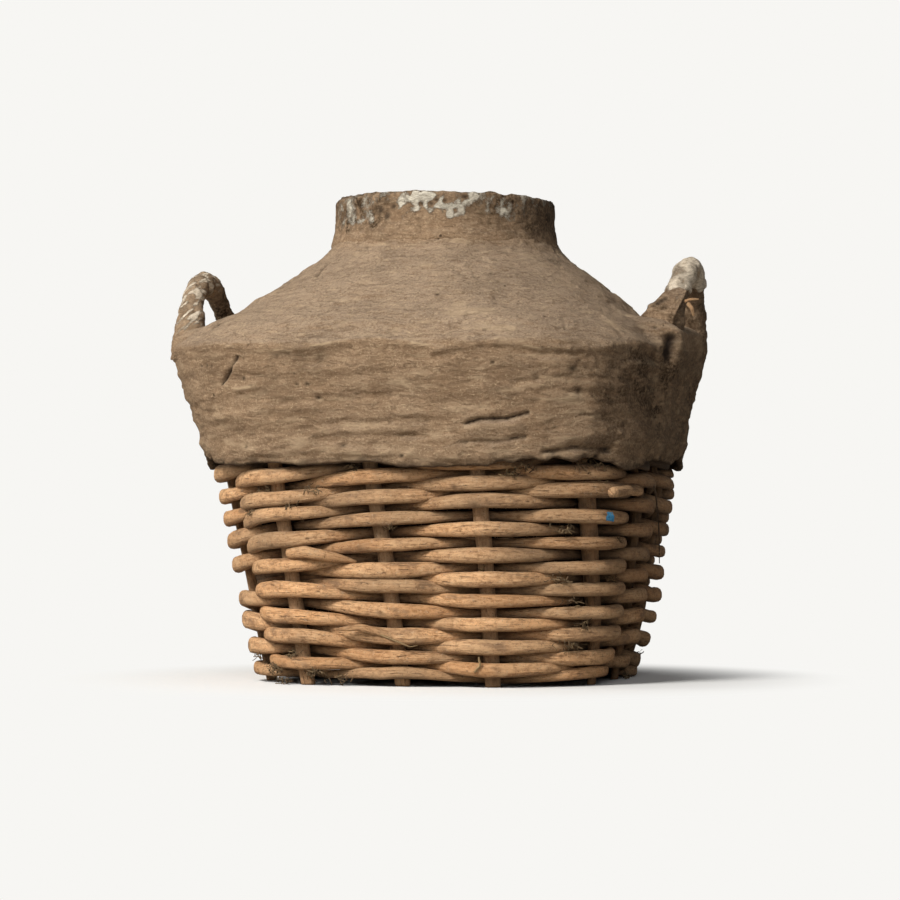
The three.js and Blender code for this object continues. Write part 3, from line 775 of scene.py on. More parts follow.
# Pinholes and knots: pixel, radius in mm, then depth in mm
COAT_PITS = [
    (307, 384, 1.9, 1.2), (318, 398, 2.2, 1.6), (492, 362, 1.6, 1), (573, 368, 3, 1),
    (579, 390, 3.4, 1.2), (200, 366, 1.8, 1.5), (205, 365.5, 2, 1.8), (210, 366, 1.6, 1.5),
    (343, 445, 2, 1.2), (247, 447, 1.6, 1), (296, 384, 1.5, 0.8), (242, 379, 1.8, 0.8),
    (565, 330, 1.6, 0.8), (655, 326, 1.8, 1.5), (677, 310, 1.4, 1), (493, 273, 1.2, 0.6),
    (436, 294, 1.8, 0.8), (402, 455, 1.8, 1), (533, 459, 2.6, 2.4), (559, 457, 2.6, 2.4),
    (587, 457, 2.8, 2.6), (597, 457, 3, 3), (211, 459, 3.4, 3), (213, 326, 3.4, 2.4), (218, 323, 2.6, 2),
    (655, 458, 4, 4), (662, 460, 4, 4), (648, 461, 3, 3), (208, 324, 2, 1.5), (205, 452, 2, 1.5),
]
# Pale fibres and specks: a line by pixels, half width in mm
COAT_FIBRES = [
    ([(402, 383), (408, 388), (413, 395)], 0.8), ([(404, 385), (410, 383)], 0.8),
    ([(434, 369), (438, 372)], 1.1), ([(234, 389), (250, 387)], 1.3), ([(221, 383), (226, 387)], 1),
    ([(299, 333), (303, 333)], 1.2), ([(411, 343), (428, 345)], 0.9), ([(273, 350), (290, 351)], 0.9),
    ([(310, 346), (330, 343)], 1), ([(378, 234), (395, 231), (412, 228)], 1.4),
    ([(396, 222), (410, 215)], 1.2), ([(524, 345), (541, 349)], 1), ([(446, 430), (449, 430)], 1.1),
    ([(318, 400), (322, 400)], 1),
]


def line_on_coat(pixels):
    return np.array([seen_at(px, py, coat_surface) for px, py in pixels])


def near_line(points, line):
    """Distance in mm of each point from a line of points."""
    away = np.full(points.shape[:-1], 1e9)
    for a, b in zip(line[:-1], line[1:]):
        flat = points - a
        part = np.clip((flat @ (b - a)) / ((b - a) @ (b - a)), 0, 1)
        away = np.minimum(away, np.linalg.norm(flat - part[..., None] * (b - a), axis=-1))
    return away


# How far the shoulder has sunk in under the neck: level and distance in mm
SUNK = np.array([
    (318, 0), (335, 3.4), (345, 5.4), (356, 5.8), (367, 6.2), (373, 7.4), (379, 7), (384, 5.4), (388, 3),
])


# The coat's torn lower edge in the photograph, by pixels
HEM_LINE = [
    (205, 455), (210, 460), (217, 464), (240, 466), (258, 463), (298, 466), (322, 465), (345, 463),
    (360, 462), (385, 464), (400, 467), (435, 468), (470, 466), (486, 466), (495, 462), (506, 462),
    (514, 464), (520, 460), (534, 460), (545, 462), (552, 458), (563, 459), (576, 463), (584, 459),
    (596, 459), (606, 463), (612, 463), (625, 471), (640, 470), (646, 463), (655, 461), (664, 462),
    (671, 466), (678, 461), (682, 457),
]


def hem_levels(probe):
    """Level of the coat's lower edge at each column: as photographed in front, wandering elsewhere."""
    x, y = probe[:, 0], probe[:, 1]
    edge = 190.5 + 1.8 * lumps(x, y, 0, 45, 31) + 1.5 * lumps(x, y, 0, 11, 33)
    seen = line_on_coat(HEM_LINE)
    middle = COAT_COLUMNS // 2
    columns = np.array([np.hypot(x - spot[0], y - spot[1]).argmin() for spot in seen])
    columns = (columns + middle) % COAT_COLUMNS
    order = np.argsort(columns)
    columns = columns[order]
    place = (np.arange(COAT_COLUMNS) + middle) % COAT_COLUMNS
    shown = np.interp(place, columns, seen[order, 2] + 2.6)
    known = step_up(place, columns[0] - 24, columns[0]) * (1 - step_up(place, columns[-1], columns[-1] + 24))
    return edge + (shown - edge) * known + 0.9 * lumps(x, y, 0, 4.5, 35)


def coat_lip(foot, normal):
    """The hem's rings, which roll under and run up inside for a few millimetres."""
    thick = 3.2 + 1.4 * lumps(foot[:, 0], foot[:, 1], 0, 16, 61)
    lip = []
    for turn in (0.25, 0.5, 0.75, 1.0):
        inward = thick * (1 - math.cos(math.pi * turn))
        down = 0.8 * thick * math.sin(math.pi * turn)
        lip.append(foot - normal * inward[:, None] - np.array([0, 0, 1]) * down[:, None])
    innermost = lip[-1]
    for climb in (5, 12, 20):
        lip.append(innermost + np.array([0.0, 0.0, climb]) + normal * [0.3, 0.3, 0])
    return np.array(lip[::-1])


def coat_piece():
    """The papier-mache shell, with the ripples, folds, pits, fibres and torn hem of the photograph."""
    share = np.arange(COAT_COLUMNS) / COAT_COLUMNS
    edge = hem_levels(coat_surface(np.full(COAT_COLUMNS, 188.0), share))
    lower = COAT_LOWER_SHARE * np.linspace(0, 1, COAT_LOWER_RINGS)
    upper = COAT_LOWER_SHARE + (1 - COAT_LOWER_SHARE) * np.linspace(0, 1, COAT_UPPER_RINGS + 1)[1:]
    climb = np.concatenate([lower, upper])
    level = edge + (NECK_FOOT - 0.2 - edge) * climb[:, None]
    points = coat_surface(level, share)
    for _ in range(3):
        points[1:-1] = (points[:-2] + 2 * points[1:-1] + points[2:]) / 4
        points = (np.roll(points, 1, 1) + 2 * points + np.roll(points, -1, 1)) / 4
    normal = normals_of(points)
    x, y, z = np.moveaxis(points, -1, 0)
    bumps = bumps_on(points)
    pad = step_up(np.abs(x) - coat_wall_half(z), -3, 4)
    front = (1 - step_up(y, -150, -90)) * (1 - pad)
    wall = (1 - step_up(z, 282, 300)) * (1 - 0.8 * pad)
    lift = 1.5 * bumps(80, 41) + 1.1 * bumps((40, 40, 24), 43) + 0.5 * bumps((20, 20, 13), 44)
    # Ripples follow the covered rods under the wall
    ripple = 2 * math.pi * (z + 6 * bumps((75, 75, 60), 45)) / 20.5
    patchy = step_up(bumps((60, 60, 26), 47), -0.5, 0.5)
    lift += wall * (1 - 0.65 * front) * (0.35 + 1.3 * patchy) * (np.sin(ripple) - 0.5 * np.cos(2 * ripple))
    # The break of the shoulder: a thin lip with a groove under it
    ridge_at = 286 + 5.5 * lumps(x, y, 0, 55, 49)
    groove = 1.4 * bell(z - ridge_at + 5.5, 3.2) * step_up(lumps(x, y, 0, 40, 51), -0.6, 0.4)
    lift += (1 - 0.9 * np.maximum(front, pad)) * (1.5 * bell(z - ridge_at - 2, 4.5) - groove)
    # Fibres, torn edges of sheets and grit that the light catches
    lift += 0.4 * bumps((16, 16, 4), 53) + 0.3 * bumps((7, 7, 2.4), 55) + 0.25 * bumps(6, 57)
    torn = bumps((38, 38, 17), 58) + 0.25 * bumps((8, 8, 3), 60)
    lift += 0.8 * step_up(torn, 0.12, 0.2) - 0.6 * step_up(torn, -0.3, -0.22)
    # The hem is thick and lumpy, less so on the right
    swell = 0.8 + 0.5 * lumps(x, y, 0, 30, 59) - 0.8 * step_up(x, 130, 185)
    lift += (2.4 + 1.1 * bumps((9, 9, 4), 62)) * bell(z - edge - 8, 9) * swell
    hollow_shade = np.zeros_like(z)
    rub = 0.35 * step_up(lift, 1.2, 4) + 0.45 * step_up(bumps((24, 24, 3.6), 69) + 0.2 * torn, 0.4, 0.8)
    ragged = bumps(8, 64)
    broken = step_up(bumps((14, 14, 5), 65), -0.4, 0.5)
    grainy = bumps(2.5, 66)
    for pixels, height, width in COAT_FOLDS:
        away = near_line(points, line_on_coat(pixels))
        shape = bell(away + 0.35 * width * ragged, width)
        lift += height * shape
        # Deep or sharp creases are painted dark as shade
        recess = height < -4 and width > 4.4
        if recess or height < -2.2 and width < 3.2:
            deep = bell(away + 0.3 * width * grainy, width * (0.7 if recess else 0.4))
            hollow_shade = np.maximum(hollow_shade, 0.7 * deep)
        elif height > 0:
            rub = rub + 0.3 * shape * broken
    for px, py, size, depth in COAT_PITS:
        # Pits sink in and are painted dark as shade
        away = apart(points, seen_at(px, py, coat_surface), [0.75, 1, 1.1]) + 0.3 * size * grainy
        lift -= depth * bell(away, size)
        hollow_shade = np.maximum(hollow_shade, 0.9 * bell(away, size * 0.8))
    for pixels, width in COAT_FIBRES:
        shape = bell(near_line(points, line_on_coat(pixels)), width)
        lift += 0.5 * shape
        rub = np.maximum(rub, 0.95 * shape)
    # The frayed hem and every deep recess are painted dark as shade
    frayed_hem_shade = 0.5 * (1 - step_up(z - edge, 0.5, 5)) * step_up(bumps((7, 7, 3), 67), -0.2, 0.4)
    hollow_shade = np.maximum(hollow_shade, frayed_hem_shade) + 0.45 * step_up(-lift, 1.4, 3.5)
    inward = np.interp(z, SUNK[:, 0], SUNK[:, 1])
    points = points + normal * lift[..., None] - unit(normal * [1, 1, 0]) * inward[..., None]
    lip = coat_lip(points[0], normal[0])
    marks = {}
    stain_and_shade = coat_stain_and_shade(points)
    # The lip rolled under the hem gets painted shade through the stain and hollow marks
    for mark, under, values in (("stain_and_shade", 0.5, stain_and_shade), ("rub", 0, rub), ("hollow_shade", 0.55, hollow_shade)):
        marks[mark] = np.concatenate([np.full((len(lip), COAT_COLUMNS), under), np.clip(values, 0, 1)])
    marks["lime"] = 0 * marks["rub"]
    rings = np.concatenate([lip, points])
    make_piece("papier_mache_shell", rings, coat_paper, ["papier_mache_coat"], marks)


def coat_stain_and_shade(points):
    """Where the coat is darker: the right side, partly smoke and damp and partly painted shade where it turns
    from the light; patches along the hem; and a few blotches of smoke and damp.
    """
    x, y, z = np.moveaxis(points, -1, 0)
    bumps = bumps_on(points)
    ragged = bumps(22, 71) + 0.7 * bumps(7, 72) + 0.4 * bumps((4, 4, 2.5), 74)
    # The right side: a stain, and painted shade where the coat turns from the light
    right = step_up(x + 0.25 * y + 16 * ragged, 98, 175) * (1 - step_up(z + 8 * ragged, 283, 306))
    left = step_up(-x, 120, 190) * (1 - step_up(z, 285, 300))
    stain_and_shade = 0.45 * right + 0.1 * step_up(bumps(34, 73), 0.1, 0.7) + 0.12 * left
    for px, py, size, strength in COAT_STAINS:
        away = apart(points, seen_at(px, py, coat_surface)) + 0.75 * size * ragged
        stain_and_shade = stain_and_shade + strength * (1 - step_up(away, size * 0.3, size * 1.4)) * (1 - stain_and_shade)
    # Pale fibres and old paste break the dark up
    stain_and_shade = stain_and_shade * (1 - 0.7 * step_up(bumps((11, 11, 5), 76) + 0.6 * bumps((4, 4, 2), 77), 0.1, 0.65))
    hem = 0.3 * (1 - step_up(z, 190, 197)) * step_up(bumps(12, 75), -0.3, 0.5)
    return np.clip(stain_and_shade + hem, 0, 0.9)


coat_piece()

# Neck

# Lime on the neck band: pixel, radius in mm and strength; and dents in it, painted dark as shade
LIME_PATCHES = [
    (405, 198, 7, 0.26), (417, 199, 9, 0.34), (430, 203, 9, 0.34), (425, 194, 8, 0.24),
    (446, 206, 8, 0.34), (459, 208, 9, 0.36), (440, 196, 6, 0.2), (470, 199, 6, 0.18), (398, 205, 5, 0.2),
    (452, 213, 5, 0.28), (382, 196, 9, 0.15), (350, 212, 14, 0.13), (357, 226, 12, 0.12),
    (366, 206, 12, 0.12), (368, 222, 10, 0.11), (500, 218, 15, 0.07), (515, 212, 16, 0.07),
    (505, 204, 12, 0.07), (528, 205, 12, 0.08), (494, 229, 6, 0.1), (484, 200, 10, 0.13),
    (545, 200, 6, 0.1), (343, 230, 9, 0.13), (340, 208, 8, 0.14),
]
BAND_SPOTS = [
    (421, 203, 2.2), (430, 203, 2.6), (379, 210, 4.5), (386, 216, 3.5), (393, 206, 3), (436, 199, 2),
    (445, 200, 2), (466, 196, 2),
]


BAND_FOOT = 381
BAND_ROWS = 46
BAND_COLUMNS = 560
# The band flares where it meets the coat: level and how far out in mm
BAND_FLARE = np.array([(381, 2), (385, 3.4), (388, 4), (392, 3.2), (397, 1.8), (403, 0.7), (410, 0)])
# Over the rim and down inside: how far below the rim and in from the band's outside in mm
BAND_INSIDE = [(-0.1, 3.4), (0.5, 4.6), (3, 5.2), (10, 5.3), (24, 5.4), (40, 5.4)]


def band_surface(level, share):
    angle = share * 2 * math.pi
    return np.stack([np.sin(angle) * NECK_RADIUS, -np.cos(angle) * NECK_RADIUS, level], -1)


def neck_band():
    """The limed paper band round the neck, with a torn rim, from the coat up and over into the mouth."""
    angle = ring_angles(BAND_COLUMNS)
    way_x, way_y = np.sin(angle), -np.cos(angle)
    rim_x, rim_y = way_x * NECK_RADIUS, way_y * NECK_RADIUS
    rim = RIM_LEVEL - 1.2 + 0.8 * lumps(rim_x, rim_y, 0, 22, 81) + 0.7 * lumps(rim_x, rim_y, 0, 5, 83)
    # The rim is low on the right, with a bump and a dip beside it
    rim = rim - 1.4 * way_x + 1.1 * bell(angle - 0.66, 0.05) - 0.8 * bell(angle - 0.8, 0.06)
    rows = []
    for part in np.linspace(0, 1, BAND_ROWS):
        level = BAND_FOOT + (rim - BAND_FOOT) * part
        rounding = (1.2 + 2.6 * step_up(-way_x, 0.2, 0.8)) * step_up(part, 0.9, 1) ** 2
        radius = NECK_RADIUS + np.interp(level, BAND_FLARE[:, 0], BAND_FLARE[:, 1]) - rounding
        rows.append(np.stack([way_x * radius, way_y * radius, level], -1))
    for drop, inward in BAND_INSIDE:
        radius = NECK_RADIUS - inward
        rows.append(np.stack([way_x * radius, way_y * radius, rim - drop], -1))
    points = np.array(rows)
    normal = normals_of(points)
    x, y, z = np.moveaxis(points, -1, 0)
    bumps = bumps_on(points)
    lift = 0.9 * bumps(30, 85) + 0.7 * bumps(9, 87) + 0.45 * bumps(3.5, 89)
    lime = 0.2 + 0.12 * bumps(22, 91) + 0.08 * bumps(6, 92) + 0.04 * step_up(z, 408, 424)
    lime = lime - 0.25 * (1 - step_up(z, 396, 406))
    ragged = bumps(7, 94) + 0.6 * bumps(3, 95)
    for px, py, size, strength in LIME_PATCHES:
        away = apart(points, seen_at(px, py, band_surface)) + 0.4 * size * ragged
        lime = lime + strength * (1 - step_up(away, size * 0.4, size * 1.3))
    # Recesses are painted dark as shade
    hollow_shade = 0.45 * step_up(-lift, 0.6, 1.7)
    for px, py, size in BAND_SPOTS:
        shape = bell(apart(points, seen_at(px, py, band_surface)) + 0.3 * size * ragged, size)
        hollow_shade = np.maximum(hollow_shade, 0.8 * shape)
        lime = lime - 0.7 * shape
        lift = lift - 0.8 * shape
    lift[BAND_ROWS:] *= 0.25
    # Dark, mottled paper: on the right above the coat, and speckled on the left
    fine = bumps(2.6, 96)
    above_coat = step_up(z + 5 * ragged, 392, 408) * (y < 40)
    dark = (0.45 + 0.25 * fine) * step_up(x + 8 * ragged, 30, 62) * above_coat
    dark = np.maximum(dark, 0.6 * step_up(x + 4 * ragged, 62, 92) * step_up(z, 383, 400))
    # A painted shadow line runs along the top of the rim
    dark = dark + 0.3 * step_up(z, 427.5, 429.5)
    speckled = step_up(fine + 0.5 * ragged, -0.4, 0.3) * step_up(-x, 16, 44)
    dark = dark + 0.6 * speckled * step_up(z + 5 * ragged, 396, 404)
    dark = dark + 0.3 * bell(x + 66, 9) * bell(z - 418, 8) * (y < 0)
    marks = {
        "stain_and_shade": np.clip(dark + 0.22 * step_up(bumps(12, 93), 0.1, 0.6), 0, 0.85),
        "rub": 0.3 * step_up(lift, 0.5, 1.6),
        "hollow_shade": np.clip(hollow_shade, 0, 1),
        "lime": np.clip(lime, 0, 1),
    }
    points = points + normal * lift[..., None]
    make_piece("neck_paper_band", points, coat_paper, ["neck_band"], marks)


neck_band()

# Handles

# Each handle's middle line from the near leg to the far one: distance behind the axis, level, the wrap's
# thickness there and how far out it stands, in mm
HANDLES = {
    "left": [
        (-50, 286, 36, 228), (-50, 306, 32, 228.5), (-49, 320, 26, 228.5), (-44, 337, 21.5, 228.5),
        (-31, 351, 21, 228), (-14, 358, 21, 227.5), (3, 357, 19.5, 226.5), (17, 350, 17.5, 225.5),
        (29, 341, 16, 224.5), (39, 329, 15.5, 223.5), (46, 315, 17, 222.5), (48, 286, 22, 222),
    ],
    "right": [
        (-46, 286, 27, 210), (-44, 305, 23, 210), (-38, 322, 21, 211), (-30, 337, 20, 212),
        (-18, 351, 18.5, 214.5), (-4, 361.5, 19.5, 217), (8, 364.5, 19.5, 218.5), (20, 361, 19.5, 218),
        (32, 350, 19, 217.5), (42, 334, 19, 217), (48, 312, 22, 216), (50, 286, 26, 214),
    ],
}
# Where a handle's paper is torn open or recessed, painted dark as shade: pixel, distance behind the axis and
# radius in mm
HANDLE_RECESSES = {
    "left": [(206, 318, -40, 4)],
    "right": [
        (676, 330, -54, 6), (673, 341, -54, 7), (671, 352, -54, 6),
        (685, 309, -58, 3), (690, 314, -58, 2.5), (697, 312, -56, 2.5),
    ],
}


def smooth_path(spots, count, rounds):
    """A line of places with its corners rounded off, at a count of even steps."""
    spots = np.array(spots, float)
    way = length_along(spots)
    path = np.stack([np.interp(np.linspace(0, way[-1], count), way, column) for column in spots.T], -1)
    for _ in range(rounds):
        path[1:-1] = (path[:-2] + 2 * path[1:-1] + path[2:]) / 4
    return path


def handle_line(hand, side, count, rounds):
    """A handle's middle line before the lean that every piece gets, and the wrap's thickness along it."""
    path = smooth_path(HANDLES[hand], count, rounds)
    middle = np.stack([side * path[:, 3] - lean_at(path[:, 1]), path[:, 0], path[:, 1]], -1)
    return middle, path[:, 2]


def handle_wrap(hand, side):
    """Paper wound round the bent rod: lumpy, limed on top, flaring into the coat at the roots."""
    middle, thick = handle_line(hand, side, 160, 20)
    out = np.broadcast_to([side, 0.0, 0.0], middle.shape)
    sides = 64
    rings = sweep(middle, out, thick, thick * 0.96, sides)
    normal = unit(rings - middle[:, None])
    x, y, z = np.moveaxis(rings, -1, 0)
    bumps = bumps_on(rings)
    ragged = bumps(6, 106)
    mottle = bumps(7, 107)
    # Strips of paper wind round the rod, 16 mm apart
    strip = np.sin(length_along(middle)[:, None] * 2 * math.pi / 16 + ring_angles(sides))
    lift = 1.1 * bumps(18, 101) + 0.8 * bumps(8, 103) + 0.5 * bumps(3, 105)
    lift = lift + 0.5 * step_up(strip + 0.3 * ragged, 0.2, 0.4)
    if hand == "left":
        # Lime lies in thin slanted strokes
        streak = step_up(lumps((x - z) / 1.4, (x + z) / 1.4, y, (1.7, 11, 6), 109), -0.15, 0.5)
        crown = step_up(z - 0.5 * y + 4 * ragged, 333, 352) * (1 - step_up(y + 4 * ragged, 2, 20))
        lime = 0.16 + crown * (0.08 + 0.32 * streak + 0.08 * mottle)
        rub = crown * (0.35 + 0.6 * streak)
        stain_and_shade = 0.1 + 0.25 * step_up(mottle, 0, 0.5) + 0.55 * step_up(y + 4 * ragged, 6, 22)
        stain_and_shade = stain_and_shade * step_up(z, 300, 325)
    else:
        # A thick cap of lime lies on the crown
        crown = step_up(z - 0.12 * y + 3.5 * ragged, 343, 346)
        lift = lift + 1.4 * crown
        lime = 0.22 + crown * (0.3 + 0.14 * bumps(9, 108) + 0.1 * mottle)
        rub = 0.85 * crown
        stain_and_shade = (1 - crown) * (0.42 + 0.3 * mottle) + crown * 0.3 * step_up(mottle + ragged, 0.3, 0.8)
    rings = rings + normal * lift[..., None]
    # Recesses are painted dark as shade
    hollow_shade = 0.6 * step_up(-lift, 0.7, 1.9)
    for px, py, depth, size in HANDLE_RECESSES[hand]:
        away = apart(rings, pixel_point(px, py, depth), [1, 0.5, 0.8]) + 0.3 * size * ragged
        hollow_shade = np.maximum(hollow_shade, 0.9 * bell(away, size))
    marks = {
        "stain_and_shade": np.clip(stain_and_shade, 0, 0.85),
        "rub": np.clip(rub + 0.3 * step_up(lift, 0.3, 1.6), 0, 1),
        "hollow_shade": hollow_shade,
        "lime": np.clip(lime, 0, 1),
    }
    node = f"{hand}_handle_wrap"
    make_piece(f"{hand}_handle_paper", rings, worn_paper, [node], marks, ends=True)


CORE_WIDTH = 12.4
CORE_IN_FROM_EDGE = 6.5


def handle_core(hand, side):
    """The bent willow rod inside the paper, down behind the coat to the legs' feet."""
    node = f"{hand}_handle_core"
    low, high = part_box(node)
    middle, _ = handle_line(hand, side, 90, 14)
    foot_x = (high.x if side < 0 else low.x) / MM + side * CORE_IN_FROM_EDGE
    part = np.linspace(0, 1, 12)[:-1, None]
    near, far = middle[0], middle[-1]
    legs = [np.array([foot_x, end[1], low.z / MM]) * (1 - part) + end * part for end in (near, far)]
    middle = np.vstack([legs[0], middle, legs[1][::-1]])
    out = np.broadcast_to([side, 0.0, 0.0], middle.shape)
    rings = sweep(middle, out, CORE_WIDTH, CORE_WIDTH, 12)
    marks = rod_marks(length_along(middle), ring_angles(12), 70 + side)
    make_piece(f"{hand}_handle_rod", rings, bent_wood, [node], marks, ends=True)


for hand, side in (("left", -1), ("right", 1)):
    handle_wrap(hand, side)
    handle_core(hand, side)

# The right handle's torn sheet: its upper and lower edge, by pixels and a distance behind the axis, and its
# holes, painted dark as shade, with their radius in mm too
FLAP_UPPER = [(649, 306, -50), (657, 299, -50), (667, 290, -48), (678, 287, -46), (687, 290, -44)]
FLAP_LOWER = [(640, 320, -44), (648, 328, -50), (656, 332, -54), (664, 331, -56), (673, 322, -56)]
FLAP_HOLES = [
    (654.5, 306, -50, 1.5), (658, 303.6, -51, 1.9), (662, 301, -51, 2), (665.5, 299, -50, 1.5),
    (658, 327, -58, 2),
]
FLAP_THICKNESS = 2.2


def torn_flap():
    """A torn sheet of pasted paper at the right handle's near root."""
    steps, across = 44, 26
    edges = [[pixel_point(*spot) for spot in line] for line in (FLAP_UPPER, FLAP_LOWER)]
    upper, lower = [smooth_path(edge, steps, 4) for edge in edges]
    part = np.linspace(0, 1, across)[None, :, None]
    sheet = upper[:, None] * (1 - part) + lower[:, None] * part
    normal = normals_of(sheet, around=False)
    bumps = bumps_on(sheet)
    curl = 2.4 * np.sin(part[..., 0] * math.pi)
    curl = curl + 0.8 * bumps(12, 161) + 0.5 * bumps(4, 163)
    sheet = sheet + normal * curl[..., None]
    ragged = 1.2 * bumps(4, 165)
    sheet[:, 0, 2] += ragged[:, 0]
    sheet[:, -1, 2] += ragged[:, -1]
    back = sheet - normal * (FLAP_THICKNESS + 0.4 * bumps(6, 167))[..., None]
    rings = np.concatenate([sheet, back[:, ::-1]], axis=1)
    hollow_shade = np.zeros(rings.shape[:2])
    for px, py, depth, size in FLAP_HOLES:
        hollow_shade = np.maximum(hollow_shade, bell(apart(rings, pixel_point(px, py, depth), [0.6, 0.6, 1]), size))
    stain_and_shade = 0.1 + 0.5 * step_up(bumps_on(rings)(7, 169), 0, 0.5)
    marks = {"stain_and_shade": stain_and_shade, "rub": 0 * hollow_shade, "hollow_shade": hollow_shade, "lime": 0.22 + 0 * hollow_shade}
    make_piece("right_handle_flap", rings, worn_paper, (), marks, ends=True)


torn_flap()

# Vessel, hoop and base

VESSEL_INSET = 17.9
VESSEL_FLOOR = 30.3
VESSEL_MOUTH_RADIUS = 84.7
VESSEL_TOP = RIM_LEVEL - 3
VESSEL_COLUMNS = 240


def vessel():
    """The paper vessel inside, near black as painted shade in the weave's gaps: floor, wall, shoulder and
    mouth as one skin, seen through the mouth.
    """
    slope = shoulder_rings(-VESSEL_INSET, -SLOPE_INSET)[1:-1]
    half, corner = body_line(np.array([VESSEL_FLOOR, WEAVE_TOP]))
    wall = np.stack([[VESSEL_FLOOR, WEAVE_TOP], half - VESSEL_INSET, corner - VESSEL_INSET], -1)
    mouth = [(level, VESSEL_MOUTH_RADIUS, VESSEL_MOUTH_RADIUS) for level in (NECK_FOOT, VESSEL_TOP)]
    line = np.vstack([wall, slope, mouth])

    def skin(inset, low):
        level = np.linspace(low, VESSEL_TOP, 110)[:, None]
        half = np.interp(level, line[:, 0], line[:, 1]) - inset
        corner = np.interp(level, line[:, 0], line[:, 2]) - inset
        x, y, out_x, out_y = outline(half, corner, np.arange(VESSEL_COLUMNS) / VESSEL_COLUMNS)
        lift = 0.8 * lumps(x, y, level, (60, 60, 26), 121) + 0.35 * lumps(x, y, level, 14, 123)
        return np.stack([x + out_x * lift, y + out_y * lift, np.broadcast_to(level, x.shape)], -1)

    outer = skin(0.6, VESSEL_FLOOR)
    inner = skin(3.6, VESSEL_FLOOR + 4)
    under = [outer[0] * [share, share, 1] for share in (0.04, 0.5)]
    floor = [inner[0] * [share, share, 1] for share in (0.97, 0.85, 0.6, 0.3, 0.04)]
    rings = np.concatenate([under, outer, inner[::-1], floor])
    bumps = bumps_on(rings)
    none = np.zeros(rings.shape[:2])
    marks = {
        "stain_and_shade": 0.3 * step_up(bumps(40, 125), 0, 0.6),
        "rub": 0.2 * step_up(bumps(25, 127), 0.2, 0.7),
        "hollow_shade": none,
        "lime": none,
    }
    make_piece("vessel_paper_skin", rings, vessel_paper, ["paper_liner"], marks, ends=True)


vessel()

HOOP_RADIUS = 88.6
HOOP_THICKNESS = 6.8


def hoop():
    """The bent wood hoop inside the neck band."""
    angle = np.arange(241) / 240 * 2 * math.pi
    low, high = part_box("neck_hoop")
    out = np.stack([np.sin(angle), -np.cos(angle), 0 * angle], -1)
    middle = out * HOOP_RADIUS + [0, 0, (low.z + high.z) / 2 / MM]
    rings = sweep(middle, out, (high.z - low.z) / MM, HOOP_THICKNESS, 16, 5)
    marks = rod_marks(angle * HOOP_RADIUS, np.arange(16) * 0.8, 51, grime_and_shade=0.3)
    make_piece("neck_wood_hoop", rings, bent_wood, ["neck_hoop"], marks, ends=True)


hoop()

BASE_STICK_WIDTH = 9.2
# How far inside a stake's middle a base stick ends, where its row passes outside the stake and inside it
END_OUTSIDE = 6.5
END_INSIDE = 16.4
BASE_STICK_STEPS = 40


def base_stick(layer, index, row, ends):
    """A short straight willow stick that carries the vessel's floor, from one stake to another."""
    level = FIRST_ROW_LEVEL + ROW_PITCH * row
    half, corner = body_line(level)
    spots = []
    for stake in ends:
        inset = END_INSIDE if (stake + row) % 2 else END_OUTSIDE
        x, y, out_x, out_y = outline(half, corner, stake_share(np.array(float(stake)), level))
        spots.append(np.array([x - out_x * inset, y - out_y * inset, level]))
    seed = index + row * 5
    part = np.linspace(0, 1, BASE_STICK_STEPS)[:, None]
    middle = spots[0] * (1 - part) + spots[1] * part
    middle[:, 2] += 0.5 * lumps(part[:, 0] * 200, seed, 0, 40, 131)
    out = np.broadcast_to([0.0, 0.0, 1.0], middle.shape)
    way = length_along(middle)
    angle = ring_angles(12)
    relief = 0.05 * lumps(way[:, None], angle * 5, seed * 3, (20, 5, 1), 133)
    rings = sweep(middle, out, BASE_STICK_WIDTH, BASE_STICK_WIDTH, 12, relief=relief)
    marks = rod_marks(way, angle, 200 + seed * 5, 0.95)
    name, node = [f"base_{kind}_{layer}_{index + 1:02d}" for kind in ("rod", "stick")]
    make_piece(name, rings, willow_stake, [node], marks, ends=True)


# Each layer's row and the stakes that its sticks run between
for layer, row, sticks in (("lower", 1, [(1, 10), (2, 9), (3, 8)]), ("upper", 2, [(0, 4), (13, 5), (12, 6)])):
    for index, ends in enumerate(sticks):
        base_stick(layer, index, row, ends)


# Small things caught in the weave

def on_wall(pixels, reach):
    """Places seen at pixels, at a distance outside the middle of the stakes."""
    reaches = np.broadcast_to(reach, len(pixels))
    return [seen_at(px, py, wall_surface(off)) for (px, py), off in zip(pixels, reaches)]


def twig(name, spots, width, material, tone=1.0, grime_and_shade=0.1, tip=0.5):
    """A thin stick along a line of places, thinner toward its tip."""
    steps = 30
    middle = smooth_path(spots, steps, 3)
    out = np.broadcast_to(unit(middle.mean(0) * [1, 1, 0]), middle.shape)
    way = length_along(middle)
    angle = ring_angles(10)
    size = width * np.interp(np.linspace(0, 1, steps), [0, 0.1, 0.6, 1], [0.85, 1, 0.9, tip])
    relief = 0.08 * lumps(way[:, None], angle * 3, middle[0, 0], (8, 3, 1), 141)
    rings = sweep(middle, out, size, size * 0.9, len(angle), relief=relief)
    marks = rod_marks(way, angle, 300 + middle[0, 0], tone, grime_and_shade)
    make_piece(name, rings, material, (), marks, ends=True)


straw = willow("dry_straw", "#c9a777", "#dcc294", "#9a7a50", 0.6)
old_string = willow("old_string", "#3d2c1e", "#55402c", "#241910", 0.9)
twig("straw_01", on_wall([(379, 634), (396, 641), (410, 647), (417, 645)], 16), 1.9, straw, tip=0.3)
twig("straw_02", on_wall([(474, 672), (480, 665), (478, 657)], 15), 2.2, straw, tip=0.7)
